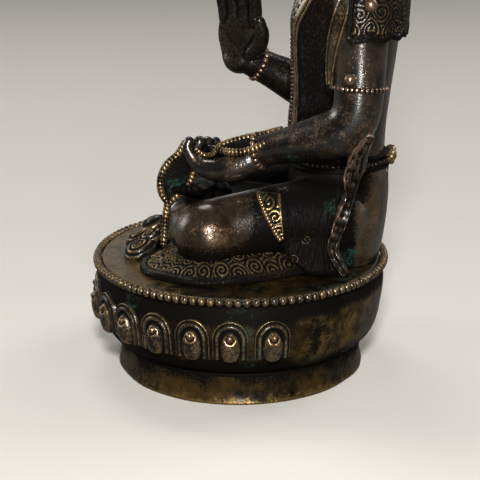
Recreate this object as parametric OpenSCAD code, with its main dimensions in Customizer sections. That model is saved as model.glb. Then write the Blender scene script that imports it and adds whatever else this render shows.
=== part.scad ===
// Cast bronze statuette of a seated devotional figure on an oval lotus base.
// Origin: centre of the underside. +Z up, the figure faces -Y, its left side is +X.

/* [Base] */
// Front-to-back size over the rim beads
base_depth = 78; // [76:1:100]
// Side-to-side size over the rim beads
base_width = 94; // [86:1:120]
// Height of the lower tier
plinth_h = 8.2; // [6:0.1:12]
// Height of the lotus tier, up to the deck
drum_h = 20.8; // [19:0.1:28]
// How far the lower tier stands in from the beads
plinth_inset = 6.8; // [5:0.1:9]
// Wall of the two base castings
base_wall = 2.2; // [1.6:0.1:3]
// Thickness of the deck
deck_t = 2; // [1.5:0.1:3]
// Height of the lip that locates the lotus tier on the lower tier
lip_h = 2; // [1.5:0.1:3]
// Diameter of a rim bead
bead_d = 2.3; // [2:0.1:2.8]
// How far the lotus petals stand out from the drum
petal_relief = 1.4; // [0.8:0.1:1.4]

/* [Underside] */
// Thickness of the sealing plate
plate_t = 0.8; // [0.5:0.1:1.5]
// Width of the ledge that the sealing plate lies against
plate_ledge = 1; // [0.6:0.1:1.4]

/* [Filling] */
// Diameter of the wooden rod at its foot
tree_d = 5; // [3:0.1:6]
// Diameter of the wooden rod at its tip
tree_tip_d = 2.6; // [1.5:0.1:3]
// Diameter of a paper roll
roll_d = 7.6; // [4:0.1:8]
// Length of a paper roll
roll_l = 16; // [8:0.5:18]
// Number of paper rolls
roll_count = 7; // [3:1:7]

/* [Seat] */
// Thickness of the cloth under the figure
cloth_t = 3.6; // [2.5:0.1:5]
// How far the cloth shows around the knees
cloth_margin = 3.2; // [1.5:0.1:4]
// How far the pleats of the cloth reach out in front
pleat_reach = 8; // [4:0.1:9]
// Diameter of the tangs that fix the figure to the deck
tang_d = 3.2; // [2:0.1:4]
// Diameter of a tang's peened head
tang_head_d = 5.4; // [4.8:0.1:6.5]
// Height of a tang's peened head
tang_head_h = 1.4; // [1:0.1:2]

/* [Legs] */
// Distance between the knee centres
knee_span = 43; // [40:0.5:48]
// Distance from the waist's axis forward to the knees
thigh_l = 35.4; // [33:0.2:38]
// Radius of a knee
knee_r = 8.4; // [7:0.1:9]
// Radius of a thigh at the hip
thigh_r = 11.5; // [10:0.1:12]
// Radius of a shin
shin_r = 6.6; // [5:0.1:7]
// Height of the lap, from the cloth to the waist
lap_h = 20.4; // [19:0.1:26]
// Diameter of the passage from the lap into the torso
passage_d = 16; // [12:0.5:17]

/* [Torso] */
// Height from the waist to the foot of the neck
torso_h = 57; // [50:0.5:66]
// Width of the waist
waist_w = 24; // [22:0.5:28]
// Front-to-back size of the waist
waist_d = 23.4; // [21:0.2:25]
// Width of the chest
chest_w = 34; // [32:0.5:38]
// Front-to-back size of the chest
chest_d = 27.4; // [25:0.2:30]
// How far the shoulders lean back from the waist
torso_lean = 3; // [0:0.1:4]
// Wall of the hollow torso
torso_wall = 3; // [2:0.1:3.5]
// Width over the flat flanks where the arms seat
flank_w = 31; // [29:0.2:32]

/* [Arms] */
// How deep an arm is flattened where it lies against the torso
shoulder_flat = 0.9; // [0.6:0.1:1.4]
// Radius at the shoulder
shoulder_r = 6.9; // [6:0.1:7.4]
// Radius at the elbow
elbow_r = 6.2; // [5.5:0.1:6.8]
// Radius at the wrist
wrist_r = 3.8; // [3.2:0.1:4.2]
// Radius of the spigot between upper arm and forearm
spigot_r = 4; // [3:0.1:4.6]
// Length of that spigot
spigot_l = 5; // [3:0.1:7]
// Width of the armlets
armlet_w = 3; // [2:0.1:4]
// Width of the bracelets
bracelet_w = 2.6; // [2:0.1:3.4]
// Thickness of armlets and bracelets
band_t = 1.1; // [0.8:0.1:1.6]
// Width of a palm
palm_w = 10.6; // [9:0.1:12]
// Length of a palm
palm_l = 10; // [8:0.1:11]
// Thickness of a palm
palm_t = 4; // [3:0.1:4.6]
// Length of the middle finger
finger_l = 10.5; // [9:0.1:12]
// Diameter of a finger
finger_d = 2.7; // [2.2:0.1:3]

/* [Head] */
// Height from the foot of the neck to the top of the hair
head_h = 39; // [35:0.5:44]
// Width of the head
head_w = 22.4; // [20:0.2:25]
// Front-to-back size of the head
head_d = 25; // [23:0.2:28]
// Height of the topknot
topknot_h = 11; // [8:0.5:14]
// Diameter of the neck spigot in the torso
neck_d = 8.4; // [7:0.1:9]
// Depth of the neck spigot
neck_l = 6; // [4:0.1:8]
// Height of the crown's leaves
crown_leaf_h = 9; // [6:0.5:12]
// Diameter of an ear disc
ear_disc_d = 5.6; // [4:0.1:7]

/* [Dress] */
// Thickness of the shoulder cape
cape_t = 1.3; // [1:0.1:1.8]
// Height of the cape from its hem to the neck
cape_h = 20; // [14:0.5:22]
// Thickness of the raised border along the cape's edges
cape_rim = 0.5; // [0.2:0.1:0.8]
// Height of the belt
belt_h = 4; // [3:0.1:5]
// Thickness of the belt
belt_t = 1.5; // [1:0.1:2]
// Diameter of the necklaces
necklace_d = 1.9; // [1.4:0.1:2.4]
// Width of the scarf ends
scarf_w = 6; // [4:0.1:8]
// Thickness of the scarf ends
scarf_t = 1.4; // [1:0.1:2]
// Width of the garland over the left hand
garland_w = 4.2; // [3:0.1:5]
// Thickness of the garland
garland_t = 1.6; // [1:0.1:2]

/* [Fits] */
// Clearance between pieces that slide into each other
fit = 0.15; // [0.05:0.01:0.25]
// Gap between castings that lie against each other
seat_gap = 0.05; // [0.02:0.01:0.1]
// Gap between dress and body
dress_gap = 0.4; // [0.3:0.05:0.6]

/* [Hidden] */
$fn = 64;

bronze = [0.30, 0.21, 0.15];
copper = [0.52, 0.33, 0.22];
gilt = [0.62, 0.47, 0.24];

// Levels
deck_z = plinth_h + drum_h;
seat_z = deck_z + cloth_t;
seam_z = seat_z + lap_h;
neck_z = seam_z + torso_h;
crown_z = neck_z + head_h;

// Base radii along the depth; the width follows from the oval
bead_r = base_depth / 2 - bead_d / 2;
bead_z = deck_z - bead_d * 0.2;
bead_sides = 6;
ledge_z = bead_z - bead_d / 2 * cos(180 / bead_sides) - seat_gap;
deck_r = bead_r - bead_d / 2 - seat_gap;
// The drum's wall stands in from the beads, so that petals and beads share one outline
drum_inset = 0.3;
drum_r = bead_r - drum_inset;
foot_r = base_depth / 2 - plinth_inset;
plinth_hole_r = foot_r - base_wall;
lip_r = plinth_hole_r + base_wall / 2;

// Figure landmarks; the figure's back keeps its distance from the beads
back_gap = 0.5;
// How far the hips draw in behind, from the waist to the deck
waist_tuck = 2.4;
axis_y = deck_r - back_gap - (waist_d / 2 + belt_t - waist_tuck);
knee_y = axis_y - thigh_l;
hip_x = 12;
// Height of the legs' middle over the seat, and how far the lap's axis lies in front of the waist's
leg_rise = 9.3;
leg_z = seat_z + leg_rise;
lap_forward = 5.4;
lap_axis = [0, axis_y - lap_forward];
// Where the shins cross, and the floor of the hollow between the thighs
ankle = [-9, knee_y - 2.6];
lap_floor = leg_z + 2.6;
// How much wider the hips are on the seat than at the waist
hip_flare = 5;
shoulder_x = flank_w / 2 + shoulder_r - shoulder_flat;
// Shoulder below the neck's foot, elbow above the waist
shoulder_drop = 11;
elbow_rise = 12.5;
shoulder_z = seam_z + torso_h - shoulder_drop;
elbow_z = seam_z + elbow_rise;

// Each arm as shoulder, elbow and wrist
elbow_out = 3.5;
arm_splay = elbow_out / (shoulder_z - elbow_z);
left_arm = [[shoulder_x, axis_y + 5.1, shoulder_z],
            [shoulder_x + elbow_out, axis_y + 6.1, elbow_z],
            [shoulder_x - 6.5, axis_y - 21.4, seam_z + 5.8]];
right_arm = [[-shoulder_x, axis_y + 5.1, shoulder_z],
             [-shoulder_x - elbow_out, axis_y + 2.1, elbow_z - 1],
             [4.5 - shoulder_x, axis_y - 22.9, seam_z + 24]];
// Softness of the elbow, and where along the upper arm the armlet covers the joint
elbow_soft = 0.22;
armlet_at = 0.58;
bracelet_at = 1.94;

// Bead row: pitch and neck as shares of the bead, and where a bead reaches its full girth
bead_pitch = 0.96;
bead_neck = 0.4;
bead_shoulder = 0.3;

base_sides = 80;
arm_sides = 16;
body_sides = 40;
lap_sides = 60;

// Torso and head sizes that follow from others
neck_r = neck_d / 2 + 1.6;
crown_t = 0.9;
crown_at = 0.66;
jewel_d = 4.4;
head_forward = 0.8;

// Pocket of the sealing plate, and room for the filling
pocket_r = plinth_hole_r + plate_ledge;
pocket_z = plate_t + seat_gap;
tree_hole_d = tree_d + 1;
roll_ring_r = plinth_hole_r - roll_d / 2 - 4;

// Routes chosen by hand: the scarf from under the elbow, the garland over the left hand
// Both end on the deck
elbow = left_arm[1];
wrist = left_arm[2];
scarf_x = hip_x + thigh_r + 2.7;
scarf_route = [
  [elbow.x + 4, elbow.y - 3.1, elbow_z - elbow_r - 0.3],
  [elbow.x + 3.8, elbow.y - 5.5, seam_z + 1],
  [scarf_x + 1.6, axis_y - 0.9, seam_z - 6],
  [scarf_x + 0.6, axis_y - 1.9, deck_z + 10],
  [scarf_x, axis_y + 0.6, deck_z + 3],
  [scarf_x, axis_y + 0.6, deck_z + 0.7]];
garland_over_hand = [[-0.5, 5, 7.4], [-1.5, -4, 6.8], [-3, -10, 7.2], [-4.5, -17.5, 6.2], [-5.6, -22, -0.8]];
garland_hanging = [[8.6, -10.6, 19], [8, -12.5, 10], [7.6, -13, 5]];
garland_route = concat(
  [for (p = garland_over_hand) wrist + p],
  [for (p = garland_hanging) [p.x, knee_y + p.y, deck_z + p.z]]);

function unit(v) = v / norm(v);
function mix(a, b, s) = a + (b - a) * s;
function step_up(a, b, x) = let(s = min(1, max(0, (x - a) / (b - a)))) s * s * (3 - 2 * s);
// Distance at which a ray from the origin along angle t leaves a circle, or 0
function circle_exit(c, r, t) =
  let(along = c.x * cos(t) + c.y * sin(t), off = c.y * cos(t) - c.x * sin(t))
  abs(off) < r ? max(0, along + sqrt(r * r - off * off)) : 0;
// Radius of a ball's slice at a height dz from its centre
function slice(r, dz) = abs(dz) < r ? sqrt(r * r - dz * dz) : 0;
function round_ring(c, u, v, r, n) =
  [for (j = [0 : n - 1]) c + r * (cos(360 * j / n) * u + sin(360 * j / n) * v)];

// A closed skin over rings that all have the same number of points
module skin(rings, closed = false) {
  n = len(rings[0]);
  m = len(rings);
  last = closed ? m - 1 : m - 2;
  sides = [for (i = [0 : last], j = [0 : n - 1])
    let(k = (i + 1) % m, e = (j + 1) % n, a = i * n + j, b = i * n + e, c = k * n + e, d = k * n + j)
    each [[a, c, b], [a, d, c]]];
  ends = closed ? [] : [[for (j = [0 : n - 1]) j], [for (j = [n - 1 : -1 : 0]) (m - 1) * n + j]];
  polyhedron([for (r = rings) each r], concat(sides, ends), 4);
}

// A flat band swept along points, with its width along the vector "across"
module ribbon(points, across, w, t) {
  last = len(points) - 1;
  skin([for (i = [0 : last])
    let(run = unit(points[min(i + 1, last)] - points[max(i - 1, 0)]),
        side = unit(across - run * (across * run)), up = cross(run, side))
    [for (k = [[-1, -1], [1, -1], [1, 1], [-1, 1]]) points[i] + side * k.x * w / 2 + up * k.y * t / 2]]);
}

// A smooth route through hand-chosen points
function route(p, steps) = concat([for (i = [0 : len(p) - 2], s = [0 : steps - 1])
  let(u = s / steps, a = p[max(i - 1, 0)], b = p[i], c = p[i + 1], d = p[min(i + 2, len(p) - 1)])
  0.5 * (2 * b + (c - a) * u + (2 * a - 5 * b + 4 * c - d) * u * u + (3 * b - a - 3 * c + d) * u * u * u)],
  [p[len(p) - 1]]);

// Points round the base's oval, from a radius along its depth
function oval(r) = [for (j = [0 : base_sides - 1])
  r * [cos(360 * j / base_sides) * base_width / base_depth, sin(360 * j / base_sides)]];
function oval_rings(profile) = [for (q = profile) [for (p = oval(q[0])) [p.x, p.y, q[1]]]];

// Outer profile of the lotus tier, as [radius, height]
function drum_profile(out) = [
  [foot_r - 0.2 + out, plinth_h],
  [foot_r + 2.4 + out, plinth_h + 1.9],
  [drum_r - 1.5 + out, plinth_h + 4.3],
  [drum_r - 0.4 + out, plinth_h + drum_h * 0.46],
  [drum_r + out, plinth_h + drum_h * 0.74],
  [drum_r - 0.5 + out, ledge_z]];

module sealing_plate() {
  color(copper) linear_extrude(plate_t) polygon(oval(pocket_r - fit));
}

module base_plinth() {
  top = plinth_h - seat_gap;
  color(bronze) skin(oval_rings([
    [pocket_r, 0], [foot_r + 0.2, 0], [foot_r - 0.4, plinth_h / 2], [foot_r - 0.2, top], [lip_r, top],
    [lip_r, plinth_h + lip_h], [plinth_hole_r, plinth_h + lip_h], [plinth_hole_r, pocket_z],
    [pocket_r, pocket_z]]), true);
}

// Petals: one every fifteen degrees round the front and the sides, and a plain wall behind
petal_count = 15;
petal_pitch = 15;
petal_foot = plinth_h + drum_h * 0.26;
petal_top = plinth_h + drum_h * 0.76;
// Rows of a petal: share of its height, then the lift of its tongue, its groove and its ridge
petal_rows = [
  [0, 0, 0, 0],
  [0.06, 0.4, 0.15, 0.6],
  [0.35, 1, 0.15, 0.7],
  [0.6, 0.9, 0.15, 0.7],
  [0.78, 0.15, 0.6, 0.6],
  [0.92, 0.65, 0.6, 0.1],
  [1, 0, 0, 0]];
// Which of these lifts each of a petal's six columns takes; the first lies between two petals
petal_columns = [0, 3, 2, 1, 2, 3];
columns = len(petal_columns);
petal_start = -90 - petal_count * petal_pitch / 2;
back_columns = 24;
drum_angles = concat(
  [for (j = [0 : petal_count * columns]) petal_start + j * petal_pitch / columns],
  [for (j = [1 : back_columns - 1])
    petal_start + petal_count * petal_pitch + (360 - petal_count * petal_pitch) * j / back_columns]);
function petal_lift(j, row) =
  let(k = j < petal_count * columns ? petal_columns[j % columns] : 0)
  k == 0 ? 0 : petal_relief * row[k];
function drum_ring(r, z, row = petal_rows[0]) = [for (j = [0 : len(drum_angles) - 1])
  let(t = drum_angles[j], q = r + petal_lift(j, row))
  [q * cos(t) * base_width / base_depth, q * sin(t), z]];

// The drum's skin runs from under the deck down the inside, then up the outside to the deck
module lotus_drum() {
  hollow_foot = plinth_h + lip_h + 1;
  under_deck = deck_z - deck_t;
  wall = drum_profile(-base_wall);
  inside = concat([[wall[4][0], under_deck]], [for (k = [4 : -1 : 2]) wall[k]],
    [[lip_r + fit, hollow_foot], [lip_r + fit, plinth_h]]);
  outside = drum_profile(0);
  heights = [for (p = outside) [p[1], p[0]]];
  foot = [for (k = [0 : 2]) outside[k]];
  rim = [outside[5], [deck_r, ledge_z], [deck_r, deck_z]];
  petals = [for (row = petal_rows)
    let(z = mix(petal_foot, petal_top, row[0]))
    drum_ring(lookup(z, heights), z, row)];
  color(bronze) difference() {
    skin(concat(
      [for (p = concat(inside, foot)) drum_ring(p[0], p[1])],
      petals,
      [for (p = rim) drum_ring(p[0], p[1])]));
    for (p = tang_points) translate([p.x, p.y, under_deck - 1])
      cylinder(d = tang_d + 2 * fit, h = deck_t + 2);
    translate([0, axis_y, under_deck - 1]) cylinder(d = tree_hole_d, h = deck_t + 2);
  }
}

// Running length round the oval, to space the beads evenly
function oval_point(t) = [(base_width - bead_d) / 2 * cos(t), (base_depth - bead_d) / 2 * sin(t)];
function oval_lengths(i = 0, s = 0) = i >= 360 ? [[s, 360]] :
  concat([[s, i]], oval_lengths(i + 1, s + norm(oval_point(i + 1) - oval_point(i))));

// Outward direction of the bead row at angle t
function oval_out(t) = unit([cos(t) * (base_depth - bead_d), sin(t) * (base_width - bead_d), 0]);

// One strip of beads: each bead is a barrel that runs into the next at a thin neck
module rim_beads() {
  lengths = oval_lengths();
  around = lengths[360][0];
  count = round(around / (bead_d * bead_pitch));
  barrel = [[0, bead_neck], [bead_shoulder, 1], [1 - bead_shoulder, 1]];
  color(gilt) skin([for (k = [0 : count - 1], b = barrel)
    let(t = lookup(around * (k + b[0]) / count, lengths), p = oval_point(t))
    round_ring([p.x, p.y, bead_z], oval_out(t), [0, 0, -1], bead_d / 2 * b[1], bead_sides)], true);
}

module life_tree() {
  color("burlywood") translate([0, axis_y, pocket_z])
    cylinder(d1 = tree_d, d2 = tree_tip_d, h = shoulder_z - pocket_z);
}

module paper_rolls() {
  first = 200;
  last = 340;
  color("ivory") for (k = [0 : roll_count - 1]) {
    t = mix(first, last, k / (roll_count - 1));
    translate([roll_ring_r * cos(t), roll_ring_r * sin(t), pocket_z])
      cylinder(d = roll_d, h = roll_l);
  }
}

// Reach of the folded legs from the lap's axis, as balls along thighs and shins
function lap_reach(t, z) = max([for (s = [-1, 1], b = leg_balls)
  circle_exit([s * b[0].x - lap_axis.x, b[0].y - lap_axis.y], slice(b[1], z - leg_z), t)]);
knee = [knee_span / 2, knee_y];
leg_balls = concat(
  [for (k = [0 : 0.125 : 1]) [mix([hip_x, axis_y], knee, k), mix(thigh_r, knee_r, k)]],
  [for (k = [0 : 0.125 : 1]) [mix(knee, ankle, k), mix(knee_r, shin_r, k)]]);
// Top of the folded legs over a point of the plan; between them lies the lap's floor
function leg_top(p) = max(lap_floor, max([for (s = [-1, 1], b = leg_balls)
  leg_z + slice(b[1], norm([p.x - s * b[0].x, p.y - b[0].y]))]));
// Reach of the waist, which the legs run up into; it draws in towards the deck behind
function waist_reach(t, z) =
  let(low = step_up(seam_z - 2, seat_z, z), wide = waist_w / 2 + belt_t + hip_flare * low,
      deep = waist_d / 2 + belt_t - waist_tuck * low, c = axis_y - lap_axis.y,
      p = cos(t) / wide, q = sin(t) / deep, a = p * p + q * q, b = c * q / deep)
  (b + sqrt(max(0, b * b - a * (c * c / deep / deep - 1)))) / a;
function lap_point(t, z, share = 1) = let(r = share * max(lap_reach(t, z), waist_reach(t, z)))
  [lap_axis.x + r * cos(t), lap_axis.y + r * sin(t), z];
function lap_ring(z, share = 1) = [for (j = [0 : lap_sides - 1]) lap_point(360 * j / lap_sides, z, share)];
function passage_ring(z) = [for (j = [0 : lap_sides - 1])
  [passage_d / 2 * cos(360 * j / lap_sides), axis_y + passage_d / 2 * sin(360 * j / lap_sides), z]];

// The upper side of the lap between its outline and the waist, from share 0 to 1
// In front it follows the legs and the lap's floor, and behind it climbs straight to the waist
waist_step = 0.2;
function lap_top_point(t, share) =
  let(r = mix(max(lap_reach(t, leg_z), waist_reach(t, leg_z)), waist_reach(t, seam_z), share),
      p = lap_axis + r * [cos(t), sin(t)],
      climb = mix(leg_z, mix(leg_z, seam_z, share), step_up(-0.2, 0.5, sin(t))),
      z = share == 0 ? leg_z : max(leg_top(p), climb))
  [p.x, p.y, min(seam_z - waist_step, z)];
function lap_top_ring(share) = [for (j = [0 : lap_sides - 1]) lap_top_point(360 * j / lap_sides, share)];

// The tangs stand under the thick wall of the legs, just above its foot
tang_angles = [205, 270, 335];
tang_share = 0.85;
foot_level = seat_z + 2;
tang_points = [for (t = tang_angles) lap_point(t, foot_level, tang_share)];

// The cloth follows the legs' foot, with pleats that spread in front
pleat_wave = 0.18;
pleat_turns = 21;
function cloth_reach(t) =
  let(p = lap_point(t, foot_level), front = step_up(-0.1, 0.5, -sin(t)), fan = step_up(0.9, 0.985, -sin(t)),
      wave = 1 - pleat_wave + pleat_wave * cos(pleat_turns * (t - 270)))
  norm([p.x - lap_axis.x, p.y - lap_axis.y]) + cloth_margin * front + pleat_reach * fan * wave;

module seat_cloth() {
  edge = [for (t = [0 : 3 : 357]) lap_axis + cloth_reach(t) * [cos(t), sin(t)]];
  color(copper) difference() {
    translate([0, 0, deck_z + seat_gap]) linear_extrude(cloth_t - 2 * seat_gap) polygon(edge);
    for (p = tang_points) translate([p.x, p.y, deck_z - 1])
      cylinder(d = tang_d + 2 * fit, h = cloth_t + 2);
    translate([0, axis_y, deck_z - 1]) cylinder(d = passage_d, h = cloth_t + 2);
  }
}

module seat_tangs() {
  under_deck = deck_z - deck_t;
  foot = under_deck - tang_head_h - seat_gap;
  color(copper) for (p = tang_points) translate([p.x, p.y, foot]) {
    cylinder(d = tang_head_d, h = tang_head_h);
    cylinder(d = tang_d, h = seat_z - seat_gap - foot);
  }
}

// The skin runs up the sides, over the thighs and down into the lap, up the waist, and back inside
module crossed_legs() {
  sides = [for (k = [0, 0.3, 0.65]) lap_ring(mix(seat_z, leg_z, k))];
  top = [for (k = [0, 0.03, 0.09, 0.18, 0.3, 0.44, 0.58, 0.72, 0.86, 1]) lap_top_ring(k)];
  waist = [for (j = [0 : lap_sides - 1])
    let(t = 360 * j / lap_sides, r = waist_reach(t, seam_z))
    [lap_axis.x + r * cos(t), lap_axis.y + r * sin(t), seam_z]];
  roof = seat_z + lap_h * 0.48;
  inside = [passage_ring(seam_z), passage_ring(roof), lap_ring(seat_z, 0.7)];
  color(copper) skin(concat(sides, top, [waist], inside), true);
}

// Torso sections: height above the waist, half width, reach to the front, reach to the back
torso_rows = [
  [0, waist_w / 2, waist_d / 2, waist_d / 2],
  [torso_h * 0.18, waist_w / 2, waist_d / 2, waist_d / 2],
  [torso_h * 0.35, mix(waist_w, chest_w, 0.3) / 2,
    mix(waist_d, chest_d, 0.2) / 2, mix(waist_d, chest_d, 0.3) / 2],
  [torso_h * 0.55, mix(waist_w, chest_w, 0.75) / 2,
    mix(waist_d, chest_d, 0.9) / 2, mix(waist_d, chest_d, 0.7) / 2],
  [torso_h * 0.7, chest_w / 2, chest_d / 2, chest_d / 2],
  [torso_h * 0.82, chest_w / 2 - 1.4, chest_d / 2 - 1.8, chest_d / 2 - 0.4],
  [torso_h * 0.9, chest_w / 2 - 5.4, chest_d / 2 - 5.4, chest_d / 2 - 2.4],
  [torso_h * 0.955, neck_r + 2.6, neck_r + 1.4, neck_r + 3],
  [torso_h, neck_r, neck_r, neck_r]];
function torso_size(z, k) = lookup(z - seam_z, [for (row = torso_rows) [row[0], row[k]]]);
function torso_axis(z) = axis_y + torso_lean * (z - seam_z) / torso_h;
// Reach of the torso's outline from its own axis
function torso_reach(t, z) =
  let(p = cos(t) / torso_size(z, 1), q = sin(t) / torso_size(z, sin(t) < 0 ? 2 : 3))
  1 / sqrt(p * p + q * q);
function torso_point(t, z, out = 0) = let(r = torso_reach(t, z) + out)
  [r * cos(t), torso_axis(z) + r * sin(t), z];
function torso_ring(z, out = 0) = [for (j = [0 : body_sides - 1])
  let(p = torso_point(360 * j / body_sides, z, out))
  [max(-flank_w / 2, min(flank_w / 2, p.x)), p.y, p.z]];
function neck_ring(z, r) = round_ring([0, torso_axis(neck_z), z], [1, 0, 0], [0, 1, 0], r, body_sides);

module torso() {
  rows = [for (row = torso_rows) seam_z + row[0]];
  outer = concat([torso_ring(seam_z + seat_gap)], [for (k = [1 : 8]) torso_ring(rows[k])]);
  socket_z = neck_z - neck_l - seat_gap;
  inner = [neck_ring(neck_z, neck_d / 2 + fit), neck_ring(socket_z, neck_d / 2 + fit),
           torso_ring(rows[5], -torso_wall - 2), torso_ring(rows[3], -torso_wall),
           torso_ring(rows[1], -torso_wall), torso_ring(seam_z + seat_gap, -torso_wall)];
  color(bronze) skin(concat(outer, inner), true);
}

module belt() {
  z0 = seam_z + seat_gap;
  color(gilt) skin([torso_ring(z0, belt_t), torso_ring(z0 + belt_h, belt_t),
    torso_ring(z0 + belt_h, fit), torso_ring(z0, fit)], true);
}

// Arms: shoulder at 0, elbow at 1, wrist at 2; two straight limbs with a soft bend between
function soft(u) = (u + sqrt(u * u + elbow_soft * elbow_soft)) / 2;
function arm_point(a, t) = a[1] + (a[0] - a[1]) * soft(1 - t) + (a[2] - a[1]) * soft(t - 1);
function arm_run(a, t) = unit(arm_point(a, t + 0.01) - arm_point(a, t - 0.01));
function arm_side(a) = unit(cross(a[0] - a[1], a[2] - a[1]));
arm_radii = [[0, shoulder_r], [1, elbow_r], [1.4, mix(elbow_r, wrist_r, 0.35)], [2, wrist_r]];
function arm_r(t) = lookup(t, arm_radii);
function arm_ring(a, t, r) = let(d = arm_run(a, t), s = arm_side(a))
  round_ring(arm_point(a, t), s, cross(d, s), r, arm_sides);
// A bracelet clears the limb's girth at its thicker edge
bracelet_r = arm_r(bracelet_at - 0.05);
// A length along the upper arm as a share of its run
function upper_share(a, l) = l / norm(a[0] - a[1]);

module upper_arm(a, flank) {
  depth = upper_share(a, spigot_l + seat_gap);
  start = arm_point(a, 0);
  run = arm_run(a, 0);
  side = arm_side(a);
  dome = [for (k = [80, 60, 40, 20])
    round_ring(start - run * shoulder_r * sin(k), side, cross(run, side), shoulder_r * cos(k), arm_sides)];
  limb = [for (t = [0 : armlet_at / 4 : armlet_at]) arm_ring(a, t, arm_r(t))];
  socket = [for (t = [armlet_at, armlet_at - depth]) arm_ring(a, t, spigot_r + fit)];
  // The inner side is flat where it lies against the torso
  skin([for (ring = concat(dome, limb, socket)) [for (p = ring)
    [flank > 0 ? max(flank, p.x) : min(flank, p.x), p.y, p.z]]]);
}

module forearm(a) {
  start = armlet_at + upper_share(a, seat_gap);
  depth = upper_share(a, spigot_l);
  spigot = [for (t = [start - depth, start]) arm_ring(a, t, spigot_r)];
  limb = [for (k = [0 : 0.1 : 1]) let(t = mix(start, 2, k)) arm_ring(a, t, arm_r(t))];
  skin(concat(spigot, limb));
}

// Places children at a point of an arm, with Z along the limb
module on_arm(a, t) {
  d = arm_run(a, t);
  s = arm_side(a);
  v = cross(d, s);
  p = arm_point(a, t);
  multmatrix([[s.x, v.x, d.x, p.x], [s.y, v.y, d.y, p.y], [s.z, v.z, d.z, p.z], [0, 0, 0, 1]]) children();
}

module arm_band(a, t, r, w) {
  on_arm(a, t) translate([0, 0, -w / 2]) difference() {
    cylinder(r = r + fit + band_t, h = w);
    translate([0, 0, -1]) cylinder(r = r + fit, h = w + 2);
  }
}

// A finger: three bones that bend towards +Z by the same curl
bone_shares = [0.42, 0.32, 0.26];
// Each joint is a little thinner than the one before
finger_taper = 0.07;
finger_sides = 12;
// Lengths of the four fingers as shares of the middle one, from the thumb's side
finger_shares = [0.94, 1, 0.95, 0.78];
function bones(base, l, curl, fan, k = 0, bend = 0) = k == len(bone_shares) ? [base] :
  let(b = bend + curl, step = l * bone_shares[k],
      tip = base + step * [cos(fan) * cos(b), sin(fan) * cos(b), sin(b)])
  concat([base], bones(tip, l, curl, fan, k + 1, b));

module finger(base, l, curl, fan) {
  p = bones(base, l, curl, fan);
  for (k = [0 : 2]) hull() {
    translate(p[k]) sphere(d = finger_d * (1 - finger_taper * k), $fn = finger_sides);
    translate(p[k + 1]) sphere(d = finger_d * (1 - finger_taper * (k + 1)), $fn = finger_sides);
  }
}

// Moves children to a point, with X along one vector and Z towards another
module placed(p, along, up) {
  x = unit(along);
  z = unit(up - x * (up * x));
  y = cross(z, x);
  multmatrix([[x.x, y.x, z.x, p.x], [x.y, y.y, z.y, p.y], [x.z, y.z, z.z, p.z], [0, 0, 0, 1]]) children();
}

// A hand on the end of an arm: fingers along one vector, palm towards another
// The thumb stands on the hand's own +Y or -Y side
module hand(a, along, palm, curl, thumb_side) {
  row = palm_w / 2 - finger_d / 2;
  knuckle = palm_l - finger_d / 2;
  p = arm_point(a, 2);
  hull() {
    on_arm(a, 2) translate([0, 0, seat_gap]) cylinder(r = wrist_r - fit, h = 1.4, $fn = 24);
    placed(p, along, palm) {
      for (y = [-row, row]) translate([knuckle, y, 0]) sphere(d = finger_d, $fn = 16);
      translate([palm_l * 0.55, 0, 0]) scale([1, 1.9, 1]) sphere(d = palm_t, $fn = 20);
    }
  }
  placed(p, along, palm) {
    for (k = [0 : 3]) {
      y = thumb_side * row * (1 - k * 2 / 3);
      finger([knuckle, y, 0], finger_l * finger_shares[k], curl, thumb_side * (5 - 3.4 * k));
    }
    finger([palm_l * 0.42, thumb_side * row * 0.8, 0.4], finger_l * 0.85, curl * 0.3, thumb_side * 34);
  }
}

// The cape wraps torso and shoulders in one rounded outline
// It runs over the round of the shoulder and up to the neck
round_z = arm_point(left_arm, 0).z;
cape_square = 3.2;
function cape_half_width(z) = z < round_z + shoulder_r ?
  shoulder_x + slice(shoulder_r, max(0, z - round_z)) + fit + max(0, round_z - z) * arm_splay :
  mix(shoulder_x, neck_r, (z - round_z - shoulder_r) / (neck_z - round_z - shoulder_r));
function cape_reach(t, z) =
  let(p = abs(cos(t)) / cape_half_width(z), q = abs(sin(t)) / torso_size(z, sin(t) < 0 ? 2 : 3))
  pow(pow(p, cape_square) + pow(q, cape_square), -1 / cape_square);

// The front edges stand at the shoulders' sides and come together towards the neck
cape_open_low = 74;
cape_open_high = 44;
cape_hem = neck_z - cape_h;
function cape_open(z) = mix(cape_open_low, cape_open_high, step_up(round_z - 2, neck_z, z));
function cape_angle(share, z) = mix(cape_open(z) - 90, 270 - cape_open(z), share);

module shoulder_cape() {
  top = round_z + shoulder_r;
  rim_w = 1.6;
  scallop = 1.2;
  scallop_turns = 8;
  // Heights with the thickness of the border on them
  rise = concat(
    [[cape_hem, cape_rim], [cape_hem + rim_w, cape_rim], [cape_hem + rim_w + cape_rim, 0]],
    [for (k = [0 : 15 : 75]) [round_z + shoulder_r * sin(k), 0]],
    [for (k = [0, 0.35, 0.7, 1]) [mix(top, neck_z, k), 0]]);
  border = 0.014;
  inner = 0.018;
  shares = concat([0, border], [for (k = [0 : 32]) mix(inner, 1 - inner, k / 32)], [1 - border, 1]);
  last = len(shares) - 1;
  function edge(share, z, out) =
    let(t = cape_angle(share, z), r = cape_reach(t, z) + out,
        drop = scallop * abs(sin(scallop_turns * t)) * step_up(round_z, cape_hem + rim_w + cape_rim, z))
    [r * cos(t), torso_axis(z) + r * sin(t), z - drop + out * step_up(cape_hem, cape_hem + 5, z)];
  function strip(i) =
    let(rim = i < 2 || i > last - 2 ? cape_rim : 0)
    concat([for (q = rise) edge(shares[i], q[0], dress_gap)],
      [for (k = [len(rise) - 1 : -1 : 0])
        edge(shares[i], rise[k][0], dress_gap + cape_t + max(rim, rise[k][1]))]);
  color(bronze) skin([for (i = [0 : last]) strip(i)]);
}

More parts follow.
